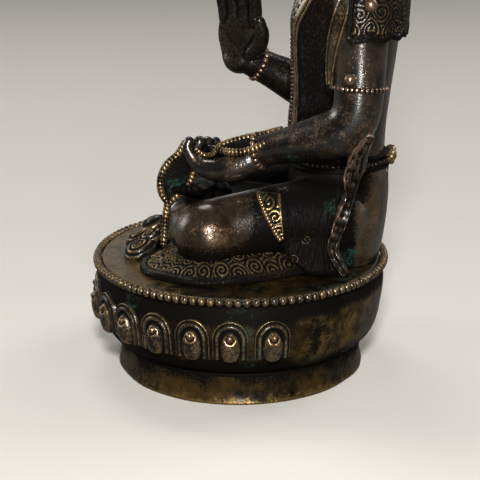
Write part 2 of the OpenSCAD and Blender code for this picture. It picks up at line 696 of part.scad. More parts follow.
module tube(points, d, sides) {
  last = len(points) - 1;
  skin([for (i = [0 : last])
    let(run = unit(points[min(i + 1, last)] - points[max(i - 1, 0)]),
        u = unit(cross(run, [0.3, 1, 0.2])))
    round_ring(points[i], u, cross(run, u), d / 2, sides)]);
}

module necklace() {
  lie = neck_z + cape_t + dress_gap + necklace_d / 2 + seat_gap;
  color(gilt) translate([0, torso_axis(neck_z), lie])
    rotate_extrude() translate([neck_r + dress_gap + necklace_d / 2, 0]) circle(d = necklace_d, $fn = 24);
}

module chest_garland() {
  half = 31;
  low = seam_z + belt_h + 6;
  high = neck_z - 6;
  sag = 1.6;
  out = necklace_d / 2 + dress_gap + fit;
  points = [for (k = [-20 : 20]) let(s = k / 20)
    torso_point(-90 + half * s, mix(low, high, pow(abs(s), sag)), out)];
  color(gilt) tube(points, necklace_d, 8);
}

module scarf(points) {
  color(copper) ribbon(route(points, 4), [0, 1, 0.2], scarf_w, scarf_t);
}

module hand_garland() {
  color(gilt) ribbon(route(garland_route, 4), [1, -0.2, 0.3], garland_w, garland_t);
}

// Head sections: share of the height, half width, reach to the front, reach to the back
head_rows = [
  [0, neck_r, neck_r, neck_r],
  [0.12, neck_r - 0.3, neck_r - 0.2, neck_r],
  [0.18, head_w * 0.34, head_d * 0.36, head_d * 0.34],
  [0.24, head_w * 0.4, head_d * 0.45, head_d * 0.42],
  [0.36, head_w * 0.46, head_d * 0.5, head_d * 0.49],
  [0.5, head_w * 0.495, head_d * 0.515, head_d * 0.5],
  [0.65, head_w / 2, head_d / 2, head_d / 2],
  [0.8, head_w * 0.475, head_d * 0.46, head_d * 0.46],
  [0.91, head_w * 0.39, head_d * 0.36, head_d * 0.36],
  [1, head_w * 0.22, head_d * 0.2, head_d * 0.2]];
head_axis = torso_axis(neck_z) - head_forward;
function skull_axis(z) = torso_axis(neck_z) - head_forward * step_up(0.12, 0.24, (z - neck_z) / head_h);
function head_size(z, k) = lookup((z - neck_z) / head_h, [for (row = head_rows) [row[0], row[k]]]);
// The ears are low swellings on the two sides
ear_out = 1.6;
ear_narrow = 30;
function ear(t, z) = let(k = (z - neck_z) / head_h)
  ear_out * pow(abs(cos(t)), ear_narrow) * step_up(0.2, 0.3, k) * step_up(0.72, 0.62, k);
function head_reach(t, z) =
  let(p = cos(t) / head_size(z, 1), q = sin(t) / head_size(z, sin(t) < 0 ? 2 : 3))
  1 / sqrt(p * p + q * q) + ear(t, z);
function head_point(t, z, out = 0) =
  let(r = head_reach(t, z) + out)
  [r * cos(t), skull_axis(z) + r * sin(t), z];
function head_ring(z, out = 0) = [for (j = [0 : body_sides - 1]) head_point(360 * j / body_sides, z, out)];
function knot_ring(z, r) = round_ring([0, head_axis, z], [1, 0, 0], [0, 1, 0], r, body_sides);

module head() {
  foot = neck_z + seat_gap;
  spigot = [for (z = [foot - neck_l, foot]) neck_ring(z, neck_d / 2)];
  levels = [0, 0.06, 0.12, 0.18, 0.24, 0.3, 0.36, 0.43, 0.5, 0.58, 0.65, 0.72, 0.8, 0.86, 0.91, 0.96, 1];
  skull = [for (k = levels) head_ring(foot + k * (head_h - seat_gap))];
  bun = [for (k = [[0.04, 0.34], [0.3, 0.47], [0.6, 0.45], [0.85, 0.3], [1, 0.16]])
    knot_ring(crown_z + topknot_h * k[0], topknot_h * k[1])];
  color(copper) skin(concat(spigot, skull, bun));
}

module crown() {
  foot = neck_z + head_h * crown_at;
  band = 2.6;
  // Five leaves over the front half, and a plain band behind
  leaf_pitch = 40;
  function leaf(t) =
    let(arch = pow(abs(cos(180 / leaf_pitch * (t + 90))), 0.7), front = step_up(-0.35, 0.05, -sin(t)))
    band + crown_leaf_h * arch * front;
  stations = 90;
  rings = [for (j = [0 : stations - 1]) let(t = 360 * j / stations, top = foot + leaf(t),
      inner = head_point(t, foot, dress_gap), outer = head_point(t, foot, dress_gap + crown_t))
    [inner, outer, [outer.x, outer.y, top], [inner.x, inner.y, top]]];
  color(gilt) skin([for (j = [stations - 1 : -1 : 0]) rings[j]], true);
}

module topknot_jewel() {
  foot = crown_z + topknot_h + seat_gap;
  stem_d = topknot_h * 0.3;
  color(gilt) translate([0, head_axis, foot]) rotate_extrude() polygon(concat(
    [[0, 0], [stem_d / 2, 0], [stem_d / 2, 0.8]],
    [for (t = [-60 : 15 : 60]) [jewel_d / 2 * cos(t), 0.8 + jewel_d * 0.43 + jewel_d / 2 * sin(t)]],
    [[0, jewel_d * 1.25 + 0.8]]));
}

module ear_disc(side) {
  thick = 1.6;
  z = neck_z + head_h * 0.24;
  lobe = head_point(side > 0 ? 0 : 180, z + ear_disc_d / 2);
  color(gilt) translate([lobe.x + side * seat_gap, lobe.y, z]) rotate([0, 90 * side, 0])
    cylinder(d = ear_disc_d, h = thick);
}

module left_upper_arm() { color(bronze) upper_arm(left_arm, flank_w / 2 + seat_gap); }
module right_upper_arm() { color(bronze) upper_arm(right_arm, -flank_w / 2 - seat_gap); }
module left_forearm() { color(bronze) forearm(left_arm); }
module right_forearm() { color(bronze) forearm(right_arm); }
module left_hand() { color(copper) hand(left_arm, [-0.3, -1, -0.32], [-0.15, 0, 1], 36, 1); }
module right_hand() { color(copper) hand(right_arm, [0.1, -0.3, 1], [0.85, -0.5, 0], 9, -1); }
module left_armlet() { color(gilt) arm_band(left_arm, armlet_at, arm_r(armlet_at), armlet_w); }
module right_armlet() { color(gilt) arm_band(right_arm, armlet_at, arm_r(armlet_at), armlet_w); }
module left_bracelet() { color(gilt) arm_band(left_arm, bracelet_at, bracelet_r, bracelet_w); }
module right_bracelet() { color(gilt) arm_band(right_arm, bracelet_at, bracelet_r, bracelet_w); }
module left_scarf() { scarf(scarf_route); }
module right_scarf() { scarf([for (p = scarf_route) [-p.x, p.y, p.z]]); }
module left_ear_disc() { ear_disc(1); }
module right_ear_disc() { ear_disc(-1); }

sealing_plate();
base_plinth();
lotus_drum();
rim_beads();
life_tree();
paper_rolls();
seat_cloth();
seat_tangs();
crossed_legs();
torso();
belt();
shoulder_cape();
necklace();
chest_garland();
left_upper_arm();
right_upper_arm();
left_forearm();
right_forearm();
left_hand();
right_hand();
left_armlet();
right_armlet();
left_bracelet();
right_bracelet();
left_scarf();
right_scarf();
hand_garland();
head();
crown();
topknot_jewel();
left_ear_disc();
right_ear_disc();
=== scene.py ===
# %% [markdown]
# # A small seated bronze on a lotus seat
# The casting is a crowned figure that sits cross-legged on an oval lotus drum. This file dresses its CAD
# solids with the forms that a chaser would finish by hand: petals, beads, incised clouds, cloth edges,
# hands and jewels. Every new piece is a numpy surface in millimetres, and one helper turns it into a mesh
# in metres.

# %% Load the frame
import bpy
import numpy as np
from mathutils import Matrix


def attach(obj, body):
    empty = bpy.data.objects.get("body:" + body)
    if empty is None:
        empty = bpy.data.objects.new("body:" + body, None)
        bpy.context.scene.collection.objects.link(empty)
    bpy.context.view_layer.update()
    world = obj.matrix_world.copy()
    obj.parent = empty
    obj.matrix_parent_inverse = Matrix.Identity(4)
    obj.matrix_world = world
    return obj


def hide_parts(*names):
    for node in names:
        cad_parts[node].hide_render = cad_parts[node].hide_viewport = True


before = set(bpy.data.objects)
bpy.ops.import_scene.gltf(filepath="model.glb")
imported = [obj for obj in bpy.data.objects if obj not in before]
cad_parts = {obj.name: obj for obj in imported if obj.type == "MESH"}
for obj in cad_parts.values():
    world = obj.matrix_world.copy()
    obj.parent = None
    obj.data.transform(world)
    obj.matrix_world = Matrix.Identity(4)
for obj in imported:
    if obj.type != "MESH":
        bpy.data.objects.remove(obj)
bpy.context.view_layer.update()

# %% [markdown]
# ## Camera
# The photograph looks at the figure's left side from a little above, with the head outside the frame. A
# camera could be placed by eye. Here it stands on a line through the middle of the beaded rim, because an
# azimuth, an elevation and a distance are easy to fit to the oval of that rim. A long lens keeps the oval
# undistorted.

# %% Place the camera
MM = 0.001
UP = np.array([0.0, 0.0, 1.0])
RIM_CENTRE = np.array([0.0, 0.0, 28.5])
CAMERA_AZIMUTH = 93.0
CAMERA_ELEVATION = 15.4
CAMERA_DISTANCE = 460.0
FOCAL_PIXELS = 1734.0
FRAME_PIXELS = 480
SENSOR_WIDTH = 36.0
AIM_UP_PIXELS = 13.0
AIM_LEFT_PIXELS = 1.0


def unit(v):
    """A vector, or an array of vectors, divided by its length."""
    v = np.asarray(v, float)
    return v / np.maximum(np.linalg.norm(v, axis=-1, keepdims=True), 1e-12)


def look_from(azimuth, elevation):
    """Direction from the object to an eye at this azimuth and elevation in degrees."""
    a, e = np.radians([azimuth, elevation])
    return np.array([np.sin(a) * np.cos(e), -np.cos(a) * np.cos(e), np.sin(e)])


def aim(obj, stand, target):
    """Stands a camera or lamp at a point in mm, with its -Z towards target and its Y upwards."""
    forward = unit(np.asarray(target) - stand)
    right = unit(np.cross(forward, UP))
    up = np.cross(right, forward)
    columns = np.column_stack([right, up, -forward, np.asarray(stand) * MM])
    obj.matrix_world = Matrix(np.vstack([columns, [0, 0, 0, 1]]).tolist())


scene = bpy.context.scene
camera = bpy.data.objects.new("camera", bpy.data.cameras.new("camera"))
scene.collection.objects.link(camera)
scene.camera = camera
camera.data.sensor_width = SENSOR_WIDTH
camera.data.lens = FOCAL_PIXELS * SENSOR_WIDTH / FRAME_PIXELS
camera.data.clip_start = 0.01
camera.data.clip_end = 20.0
eye_line = look_from(CAMERA_AZIMUTH, CAMERA_ELEVATION)
eye = RIM_CENTRE + CAMERA_DISTANCE * eye_line
eye_right = unit(np.cross(-eye_line, UP))
eye_up = np.cross(eye_right, -eye_line)
pixel = CAMERA_DISTANCE / FOCAL_PIXELS
aim(camera, eye, RIM_CENTRE + pixel * (AIM_UP_PIXELS * eye_up - AIM_LEFT_PIXELS * eye_right))
print("camera at", eye.round(1), "lens", round(camera.data.lens, 1))

# %% [markdown]
# ## Arithmetic with shader nodes
# Light and finishes are graphs of shader nodes. They could be wired one link at a time, but a sum of noises
# is easier to read as a sum. A Wire holds one output socket, and each +, - or * on it adds a Math node.

# %% Shader helpers


def connect(made, key, value):
    """Links a wire to an input of a node, or sets that input to a number or a colour."""
    if isinstance(value, Wire):
        value.tree.links.new(value.socket, made.inputs[key])
    else:
        made.inputs[key].default_value = value


def node(tree, kind, inputs=(), output=0, **settings):
    """Adds a shader node with these options and (name, value) inputs, and gives the wire of one output."""
    made = tree.nodes.new(kind)
    for key, value in settings.items():
        setattr(made, key, value)
    for key, value in inputs:
        connect(made, key, value)
    return Wire(tree, made.outputs[output])


class Wire:
    """An output socket that takes part in sums like a number."""

    def __init__(self, tree, socket):
        self.tree = tree
        self.socket = socket

    def step(self, operation, a, b, clamp=False):
        """One Math node on two wires or numbers."""
        return node(self.tree, "ShaderNodeMath", ((0, a), (1, b)), operation=operation, use_clamp=clamp)

    def __add__(self, other):
        return self.step("ADD", self, other)

    def __sub__(self, other):
        return self.step("SUBTRACT", self, other)

    def __rsub__(self, other):
        return self.step("SUBTRACT", other, self)

    def __mul__(self, other):
        return self.step("MULTIPLY", self, other)

    def clipped(self):
        """The same value held between 0 and 1."""
        return self.step("ADD", self, 0.0, True)

    def ramp(self, low, high, first=0.0, last=1.0, kind="LINEAR"):
        """Goes from first to last while the value goes from low to high, and holds outside."""
        inputs = (("Value", self), ("From Min", low), ("From Max", high), ("To Min", first), ("To Max", last))
        return node(self.tree, "ShaderNodeMapRange", inputs, "Result", interpolation_type=kind)

    def window(self, low, high):
        """Smooth step from 0 at low to 1 at high."""
        return self.ramp(low, high, kind="SMOOTHSTEP")

    def blend(self, a, b):
        """Colour that goes from a to b while this share goes from 0 to 1."""
        a, b = (c if isinstance(c, Wire) else (*c, 1.0) for c in (a, b))
        return node(self.tree, "ShaderNodeMix", (("Factor", self), (6, a), (7, b)), 2, data_type="RGBA")

    def bump(self, strength, distance):
        """Surface direction bent by this height; distance is in metres."""
        inputs = (("Height", self), ("Strength", strength), ("Distance", distance))
        return node(self.tree, "ShaderNodeBump", inputs, "Normal")


def new_finish(name, roughness=0.5):
    """A new material with its node tree and its shader."""
    made = bpy.data.materials.new(name)
    made.use_nodes = True
    shader = made.node_tree.nodes["Principled BSDF"]
    connect(shader, "Roughness", roughness)
    return made, made.node_tree, shader


print("shader helpers ready")

# %% [markdown]
# ## Floor and light
# Polished bronze is mostly a mirror for what stands round it, so the light matters as much as the colour. A
# soft lamp near the camera gives the broad highlights of the photograph, and a small low one the upright
# streaks on the arm. Three weak lamps show the front, the back and the far side. A picture of a room could
# do this too, but a few numbers are easier to tune. The camera sees a pale floor and backdrop, while the
# metal sees a dim room, a darker floor and a pale wall low behind the figure, which glows along its
# silhouette.

# %% Light the stage
FLOOR_COLOUR = (0.60, 0.585, 0.56)
FLOOR_IN_METAL = (0.12, 0.115, 0.105)
FLOOR_HALF = 3.0
BACKDROP = (0.78, 0.76, 0.73, 1.0)
ROOM_COLOUR = (1.0, 0.98, 0.95, 1.0)
ROOM_LOW, ROOM_HIGH = 0.02, 0.10
WALL_BEHIND = 0.55
LAMP_COLOUR = (1.0, 0.97, 0.92)
LAMP_TARGET = np.array([0.0, 5.0, 65.0])
# Azimuth and elevation in degrees, distance and size in mm, and power in watts.
LAMPS = {"key": (92, 25, 640, 64, 5.6), "near_lens": (95, 3, 560, 30, 1.5), "fill": (342, 20, 900, 400, 2.4),
         "back": (215, 42, 900, 500, 2.8), "far_side": (290, 58, 900, 300, 2.2)}
scene.view_settings.view_transform = "Standard"
scene.world = bpy.data.worlds.new("studio")
scene.world.use_nodes = True
sky = scene.world.node_tree
room = sky.nodes["Background"]
sky_place = node(sky, "ShaderNodeTexCoord", (), "Generated")
sideways, upwards = (node(sky, "ShaderNodeSeparateXYZ", (("Vector", sky_place),), axis) for axis in "XZ")
wall = sideways.ramp(0.1, -0.7, 0.0, WALL_BEHIND) * upwards.ramp(0.55, 0.15)
connect(room, "Color", ROOM_COLOUR)
connect(room, "Strength", wall + upwards.ramp(-0.2, 1.0, ROOM_LOW, ROOM_HIGH))
backdrop = node(sky, "ShaderNodeBackground", (("Color", BACKDROP),))
seen = node(sky, "ShaderNodeLightPath", (), "Is Camera Ray")
choice = node(sky, "ShaderNodeMixShader", (("Fac", seen), (1, Wire(sky, room.outputs[0])), (2, backdrop)))
connect(sky.nodes["World Output"], "Surface", choice)

for name, (azimuth, elevation, distance, size, watts) in LAMPS.items():
    light = bpy.data.lights.new(name, "AREA")
    light.size = size * MM
    light.energy = watts
    light.color = LAMP_COLOUR
    lamp = bpy.data.objects.new(name, light)
    scene.collection.objects.link(lamp)
    aim(lamp, LAMP_TARGET + distance * look_from(azimuth, elevation), LAMP_TARGET)

floor_mesh = bpy.data.meshes.new("floor")
floor_corners = [(x * FLOOR_HALF, y * FLOOR_HALF, 0) for x, y in ((-1, -1), (1, -1), (1, 1), (-1, 1))]
floor_mesh.from_pydata(floor_corners, [], [(0, 1, 2, 3)])
floor = bpy.data.objects.new("floor", floor_mesh)
scene.collection.objects.link(floor)
floor_paint, tree, shader = new_finish("pale_floor", 0.9)
seen = node(tree, "ShaderNodeLightPath", (), "Is Camera Ray")
connect(shader, "Base Color", seen.blend(FLOOR_IN_METAL, FLOOR_COLOUR))
floor_mesh.materials.append(floor_paint)

# %% [markdown]
# ## From arrays to meshes
# A form is a set of points with faces and a few values per point. Blender's own tools could make each
# shape, but arrays keep every formula in sight and run fast. Most forms are a grid whose columns run round
# and whose rows run along, and a fan of triangles closes an open end.

# %% Forms from grids


def ease(low, high, x):
    """Smooth step: 0 below low, 1 above high, and 3s^2 - 2s^3 between."""
    s = np.clip((np.asarray(x, float) - low) / (high - low), 0.0, 1.0)
    return s * s * (3.0 - 2.0 * s)


def mix(a, b, share):
    """Straight blend from a at share 0 to b at share 1."""
    return a + (b - a) * share


def form(points, quads=(), tris=(), **fields):
    """A set of points in mm with four-sided and three-sided faces, and values per point."""
    points = np.asarray(points, float).reshape(-1, 3)
    fields = {k: np.broadcast_to(np.ravel(np.asarray(v, float)), len(points)) for k, v in fields.items()}
    return {"points": points, "quads": np.asarray(quads, int).reshape(-1, 4),
            "tris": np.asarray(tris, int).reshape(-1, 3), "fields": fields}


def together(*forms):
    """One form that holds several side by side; a value that one of them lacks is 0 there."""
    starts = np.cumsum([0] + [len(f["points"]) for f in forms[:-1]])
    fields = {k: np.concatenate([f["fields"].get(k, np.zeros(len(f["points"]))) for f in forms])
              for k in sorted({k for f in forms for k in f["fields"]})}
    return form(np.concatenate([f["points"] for f in forms]),
                np.concatenate([f["quads"] + s for f, s in zip(forms, starts)]),
                np.concatenate([f["tris"] + s for f, s in zip(forms, starts)]), **fields)


def coated(shape, **values):
    """The same form with these values, one number or one per point, in place of its own."""
    shape["fields"].update(form(shape["points"], **values)["fields"])
    return shape


def stained(shape, **amounts):
    """The same form with these amounts added to its values."""
    return coated(shape, **{k: shape["fields"].get(k, 0.0) + amount for k, amount in amounts.items()})


def grid_quads(rows, cols, wrap_rows=False, wrap_cols=False):
    """Faces between neighbours of a grid stored row by row; they face cols-direction x rows-direction."""
    i = np.arange(rows if wrap_rows else rows - 1)[:, None]
    j = np.arange(cols if wrap_cols else cols - 1)[None, :]
    this, above = i * cols, (i + 1) % rows * cols
    after = (j + 1) % cols
    return np.stack(np.broadcast_arrays(this + j, this + after, above + after, above + j), -1).reshape(-1, 4)


def tube(rings, **fields):
    """A closed skin over rings: columns run round each ring, and a fan on its middle closes each end."""
    rows, cols = rings.shape[:2]
    j = np.arange(cols)
    k = (j + 1) % cols
    first, last = np.full(cols, rows * cols), np.full(cols, rows * cols + 1)
    top = (rows - 1) * cols
    tris = np.concatenate([np.stack([first, k, j], -1), np.stack([last, top + j, top + k], -1)])
    grids = {n: np.broadcast_to(v, (rows, cols)) for n, v in fields.items()}
    full = {n: np.concatenate([v.ravel(), v[[0, -1]].mean(axis=1)]) for n, v in grids.items()}
    points = np.concatenate([rings.reshape(-1, 3), rings[[0, -1]].mean(axis=1)])
    return form(points, grid_quads(rows, cols, False, True), tris, **full)


def hoop(rings, **fields):
    """A closed skin over rings whose last ring joins the first."""
    rows, cols = rings.shape[:2]
    full = {n: np.broadcast_to(v, (rows, cols)) for n, v in fields.items()}
    return form(rings, grid_quads(rows, cols, True, True), **full)


def slope(grid, axis, wrap):
    """Difference of a grid of points along one axis, across the seam where that axis wraps."""
    if wrap:
        return np.roll(grid, -1, axis) - np.roll(grid, 1, axis)
    return np.gradient(grid, axis=axis)


def grid_normals(grid, wrap_rows=False, wrap_cols=False):
    """Unit normals of a grid of points: column direction crossed with row direction."""
    return unit(np.cross(slope(grid, 1, wrap_cols), slope(grid, 0, wrap_rows)))


def raised(grid, height, wrap_rows=False, wrap_cols=False):
    """The grid moved along its normals by a height per point."""
    return grid + grid_normals(grid, wrap_rows, wrap_cols) * np.asarray(height)[..., None]


print("a square of two by two points has", len(grid_quads(2, 2)), "face")

# %% [markdown]
# ## Curves and sections
# A limb, a ribbon or a row of beads follows a path, and a curve object with a bevel could draw it. Here a
# path is a few given points with a smooth curve through them, so that widths, twists and beads can
# change along it. A section carried along the path gives the rings of a skin.

# %% Curves, sections and balls


def full_turn(count):
    """Angles of one turn in equal steps, without the last, which is the first again."""
    return np.linspace(0, 2 * np.pi, count, endpoint=False)


def run_along(line):
    """Distance travelled at each point of a line: the sum of the chords before it."""
    return np.concatenate([[0], np.cumsum(np.linalg.norm(np.diff(line, axis=0), axis=1))])


def points_at(line, at):
    """Points at these distances along a line, by straight steps between its points."""
    run = run_along(line)
    return np.stack([np.interp(at, run, column) for column in np.asarray(line).T], -1)


def smooth_rows(knots, values, at):
    """Smooth curve through rows of values: cubic Hermite pieces whose slopes are central differences."""
    knots, at = np.asarray(knots, float), np.asarray(at, float)
    values = np.asarray(values, float).reshape(len(knots), -1)
    slopes = np.gradient(values, knots, axis=0)
    i = np.clip(np.searchsorted(knots, at, side="right") - 1, 0, len(knots) - 2)
    h = (knots[i + 1] - knots[i])[:, None]
    s = np.clip((at - knots[i])[:, None] / h, 0.0, 1.0)
    rise = 3 * s**2 - 2 * s**3
    leave, arrive = s**3 - 2 * s**2 + s, s**3 - s**2
    return (1 - rise) * values[i] + rise * values[i + 1] + h * (leave * slopes[i] + arrive * slopes[i + 1])


def smooth(values, count):
    """A smooth run of count numbers through a few evenly spaced ones."""
    return smooth_rows(np.linspace(0, 1, len(values)), values, np.linspace(0, 1, count))[:, 0]


def route(points, count):
    """An even run of points on a smooth curve through given ones."""
    knots = run_along(points)
    curve = smooth_rows(knots, points, np.linspace(0, knots[-1], 400))
    return points_at(curve, np.linspace(0, run_along(curve)[-1], count))


def sweep(path, outline, hint, wrap=False):
    """Rings of an outline (points x 2, or rows x points x 2) carried along a path, its x near the hint."""
    along = unit(slope(path, 0, wrap))
    hint = np.broadcast_to(np.asarray(hint, float), path.shape)
    across = unit(hint - along * np.sum(along * hint, -1, keepdims=True))
    upright = np.cross(along, across)
    outline = np.broadcast_to(outline, (len(path),) + np.shape(outline)[-2:])
    return path[:, None] + across[:, None] * outline[..., :1] + upright[:, None] * outline[..., 1:]


def circle(count, radius=1.0):
    """Points round a circle, anticlockwise, as count x 2."""
    t = full_turn(count)
    return radius * np.stack([np.cos(t), np.sin(t)], -1)


def level_ring(radius, y, z, count=80):
    """A level circle of points round the upright line x = 0 at this y."""
    return np.column_stack([circle(count, radius) + [0, y], np.full(count, z)])


def balls(centres, radii, rows=7, cols=12, **fields):
    """Many small balls in one form: one grid of unit directions, broadcast over all centres."""
    centres = np.asarray(centres, float)
    v = np.linspace(0, np.pi, rows + 2)[1:-1, None]
    u = full_turn(cols)
    one = tube(np.stack(np.broadcast_arrays(np.sin(v) * np.cos(u), np.sin(v) * np.sin(u), -np.cos(v)), -1))
    one["points"][-2:, 2] = [-1.0, 1.0]
    sizes = np.broadcast_to(np.asarray(radii, float), len(centres))[:, None, None]
    starts = (np.arange(len(centres)) * len(one["points"]))[:, None, None]
    points = centres[:, None] + one["points"] * sizes
    return form(points, one["quads"] + starts, one["tris"] + starts, **fields)


print("a quarter of a turn ends at", route([[1, 0, 0], [0.7, 0.7, 0], [0, 1, 0]], 5)[-1])

# %% [markdown]
# ## Wear from the shape
# Hands rub the high places of a small bronze and leave the hollows black. That could be painted on by hand,
# but the shape itself tells it. A point's bulge is the mean of how far it stands above its neighbours,
# divided by the square of their distance, so it is a curvature per millimetre and does not depend on how
# fine the mesh is. A few rounds of averaging make it as broad as a real rubbed edge.

# %% Weathering and casting helpers
# The second value holds both soot in the hollows and painted shade.
FIELDS = ("worn", "deep", "brass", "moss")
SHARPEST = 6.0


def weather(shape, rounds=4, proud=0.9, hollow=0.5):
    """Adds worn, and the black of hollows, from 0 to 1: smooth steps of the bulge, averaged over rounds of
    neighbours.
    """
    points, quads, tris = shape["points"], shape["quads"], shape["tris"]
    count = len(points)
    a, b, c, d = points[quads].swapaxes(0, 1)
    e, f, g = points[tris].swapaxes(0, 1)
    flat = np.concatenate([np.cross(c - a, d - b), np.cross(f - e, g - e)])
    face_of = np.repeat(np.arange(len(flat)), [4] * len(quads) + [3] * len(tris))
    one = np.concatenate([quads.ravel(), tris.ravel()])
    two = np.concatenate([np.roll(quads, -1, 1).ravel(), np.roll(tris, -1, 1).ravel()])
    normal = unit(np.stack([np.bincount(one, flat[face_of, k], count) for k in range(3)], -1))
    start, end = np.concatenate([one, two]), np.concatenate([two, one])
    gap = points[start] - points[end]
    weight = np.maximum(np.bincount(start, None, count), 1)
    reach = np.bincount(start, np.sum(gap * gap, -1), count)
    bulge = 2.0 * np.bincount(start, np.sum(normal[start] * gap, -1), count) / np.maximum(reach, 1e-9)
    bulge = np.clip(bulge, -SHARPEST, SHARPEST)
    for _ in range(rounds):
        bulge = 0.5 * bulge + 0.5 * np.bincount(start, bulge[end], count) / weight
    fields = shape["fields"]
    fields["worn"] = np.clip(fields.get("worn", 0.0) + ease(0.12 * proud, proud, bulge), 0.0, 1.0)
    fields["deep"] = np.clip(fields.get("deep", 0.0) + ease(0.1 * hollow, hollow, -bulge), 0.0, 1.0)
    return shape


def cast(name, shape, material, slot, *nodes):
    """Puts a form into a smooth mesh in metres that rides on the body and stands for these CAD nodes."""
    mesh = bpy.data.meshes.new(name)
    points, quads, tris = shape["points"], shape["quads"], shape["tris"]
    mesh.vertices.add(len(points))
    mesh.vertices.foreach_set("co", (points * MM).ravel())
    mesh.loops.add(quads.size + tris.size)
    corners = np.concatenate([quads.ravel(), tris.ravel()])
    mesh.loops.foreach_set("vertex_index", corners.astype(np.int32))
    mesh.polygons.add(len(quads) + len(tris))
    starts = np.concatenate([np.arange(len(quads)) * 4, quads.size + np.arange(len(tris)) * 3])
    mesh.polygons.foreach_set("loop_start", starts.astype(np.int32))
    mesh.update(calc_edges=True)
    mesh.validate()
    mesh.polygons.foreach_set("use_smooth", np.ones(len(mesh.polygons), bool))
    for key in FIELDS:
        values = shape["fields"].get(key, np.zeros(len(points)))
        mesh.attributes.new(key, "FLOAT", "POINT").data.foreach_set("value", values.astype(np.float32))
    obj = bpy.data.objects.new(name, mesh)
    scene.collection.objects.link(obj)
    mesh.materials.append(material)
    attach(obj, "root")
    if nodes:
        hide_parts(*nodes)
    triangles = len(quads) * 2 + len(tris)
    print(name, triangles, "triangles, from", points.min(0).round(1), "to", points.max(0).round(1))


def uneven(points, size, seed):
    """Unevenness from -1 to 1: the mean of six sine waves with fixed directions, about size mm long."""
    draw = np.random.default_rng(seed)
    waves = unit(draw.normal(size=(6, 3))) * 2 * np.pi / (size * draw.uniform(0.7, 1.5, (6, 1)))
    return np.sin(np.asarray(points) @ waves.T + draw.uniform(0, 2 * np.pi, 6)).mean(-1) * 1.6


print("values per point:", FIELDS)

# %% [markdown]
# ## Bronze with an old patina
# The real surface is a dark brown skin over copper-coloured metal, with a coat of wax. Where hands have
# rubbed it the metal shows, in the hollows lies black soot, and a little verdigris sits where damp
# collected. The same black is also painted on as shade where some parts lie in shadow. It could be painted
# as a picture, but this recipe needs no unwrapping: it mixes the layers by the values of the points and by
# noise of several sizes, so that no border is drawn with a ruler.

# %% Bronze finishes
BLACK_WAX = (0.0035, 0.0030, 0.0026)
VERDIGRIS = (0.012, 0.036, 0.029)
BRASS = (0.30, 0.205, 0.080)
GRAIN_DEPTH = 0.00035


def noise(place, scale, detail=4.0, roughness=0.55):
    """Fractal noise from 0 to 1; scale is in waves per metre of the piece."""
    inputs = (("Vector", place), ("Scale", scale), ("Detail", detail), ("Roughness", roughness))
    return node(place.tree, "ShaderNodeTexNoise", inputs, "Fac")


def bronze(name, dark, brown, bare, rubbed=0.0, green=0.0, sheen=0.0, pits=0.5, grit=1.3, wax=0.35):
    """Patina: dark and brown mottled by noise, bare or brassy metal where worn, black for soot and painted
    shade.
    """
    made, tree, shader = new_finish(name)
    place = node(tree, "ShaderNodeTexCoord", (), "Object")
    worn, deep, brass, moss = (node(tree, "ShaderNodeAttribute", (), "Fac", attribute_name=k) for k in FIELDS)
    cloud, patch, grain = noise(place, 75, 5), noise(place, 330, 5, 0.65), noise(place, 1700)
    skin = (cloud * 0.55 + patch * 0.45).window(0.40, 0.62).blend(dark, brown)
    rub = (worn * 0.85 + (patch - 0.5) * 1.2 + (grain - 0.5) * grit + rubbed).window(0.22, 0.85)
    # Black covers soot in the hollows and painted shade alike.
    soot = (deep + ((patch - 0.5) * 0.7 + (grain - 0.5) * 1.5)).window(0.14, 0.72)
    clean = 1.0 - soot
    cells = node(tree, "ShaderNodeTexVoronoi", (("Vector", place), ("Scale", 900.0)), "Distance")
    pit = cells.window(0.30, 0.14) * patch.window(0.46, 0.60) * pits
    damp = noise(place, 105, 3, 0.5) + moss * 0.22 + grain * 0.22
    spot = damp.window(0.76 - green, 0.86 - green) * patch.window(0.42, 0.60) * grain.window(0.42, 0.60)
    spot = spot * (1.0 - rub)
    colour = rub.blend(skin, brass.blend(bare, BRASS))
    colour = pit.blend(soot.blend(colour, BLACK_WAX), BLACK_WAX)
    connect(shader, "Base Color", spot.blend(colour, VERDIGRIS))
    connect(shader, "Metallic", rub * clean * 0.55 + clean * 0.38)
    connect(shader, "Specular IOR Level", clean * (0.06 + 0.32 * wax) + 0.02)
    connect(shader, "Roughness", (grain * 0.30 + (0.20 - sheen) + soot * 0.16 + spot * 0.35).clipped())
    height = (grain + patch) * 0.5 - pit
    connect(shader, "Normal", height.bump(0.35, GRAIN_DEPTH))
    connect(shader, "Coat Normal", height.bump(0.16, GRAIN_DEPTH))
    connect(shader, "Coat Weight", clean * wax)
    connect(shader, "Coat Roughness", 0.17)
    print("finish", name)
    return made


body_bronze = bronze("body_bronze", (0.0055, 0.0055, 0.0052), (0.032, 0.021, 0.0135), (0.235, 0.150, 0.095),
                     rubbed=-0.15, green=0.03, sheen=0.09, grit=1.1, wax=0.9)
smooth_bronze = bronze("rubbed_bronze", (0.013, 0.0085, 0.005), (0.056, 0.034, 0.018), (0.235, 0.140, 0.080),
                       rubbed=-0.04, sheen=0.05, pits=1.0, wax=0.5)
base_bronze = bronze("base_bronze", (0.0045, 0.0038, 0.0025), (0.044, 0.0255, 0.0075), (0.170, 0.102, 0.036),
                     rubbed=-0.10, green=0.03, sheen=0.02, grit=0.7, wax=0.08)
chased_bronze = bronze("chased_bronze", (0.007, 0.006, 0.005), (0.034, 0.025, 0.0165), (0.27, 0.172, 0.090),
                       rubbed=-0.08, green=0.03, sheen=0.03)
jewel_bronze = bronze("jewel_bronze", (0.012, 0.009, 0.007), (0.050, 0.032, 0.022), (0.28, 0.172, 0.112),
                      rubbed=-0.02, sheen=0.06, wax=0.6)

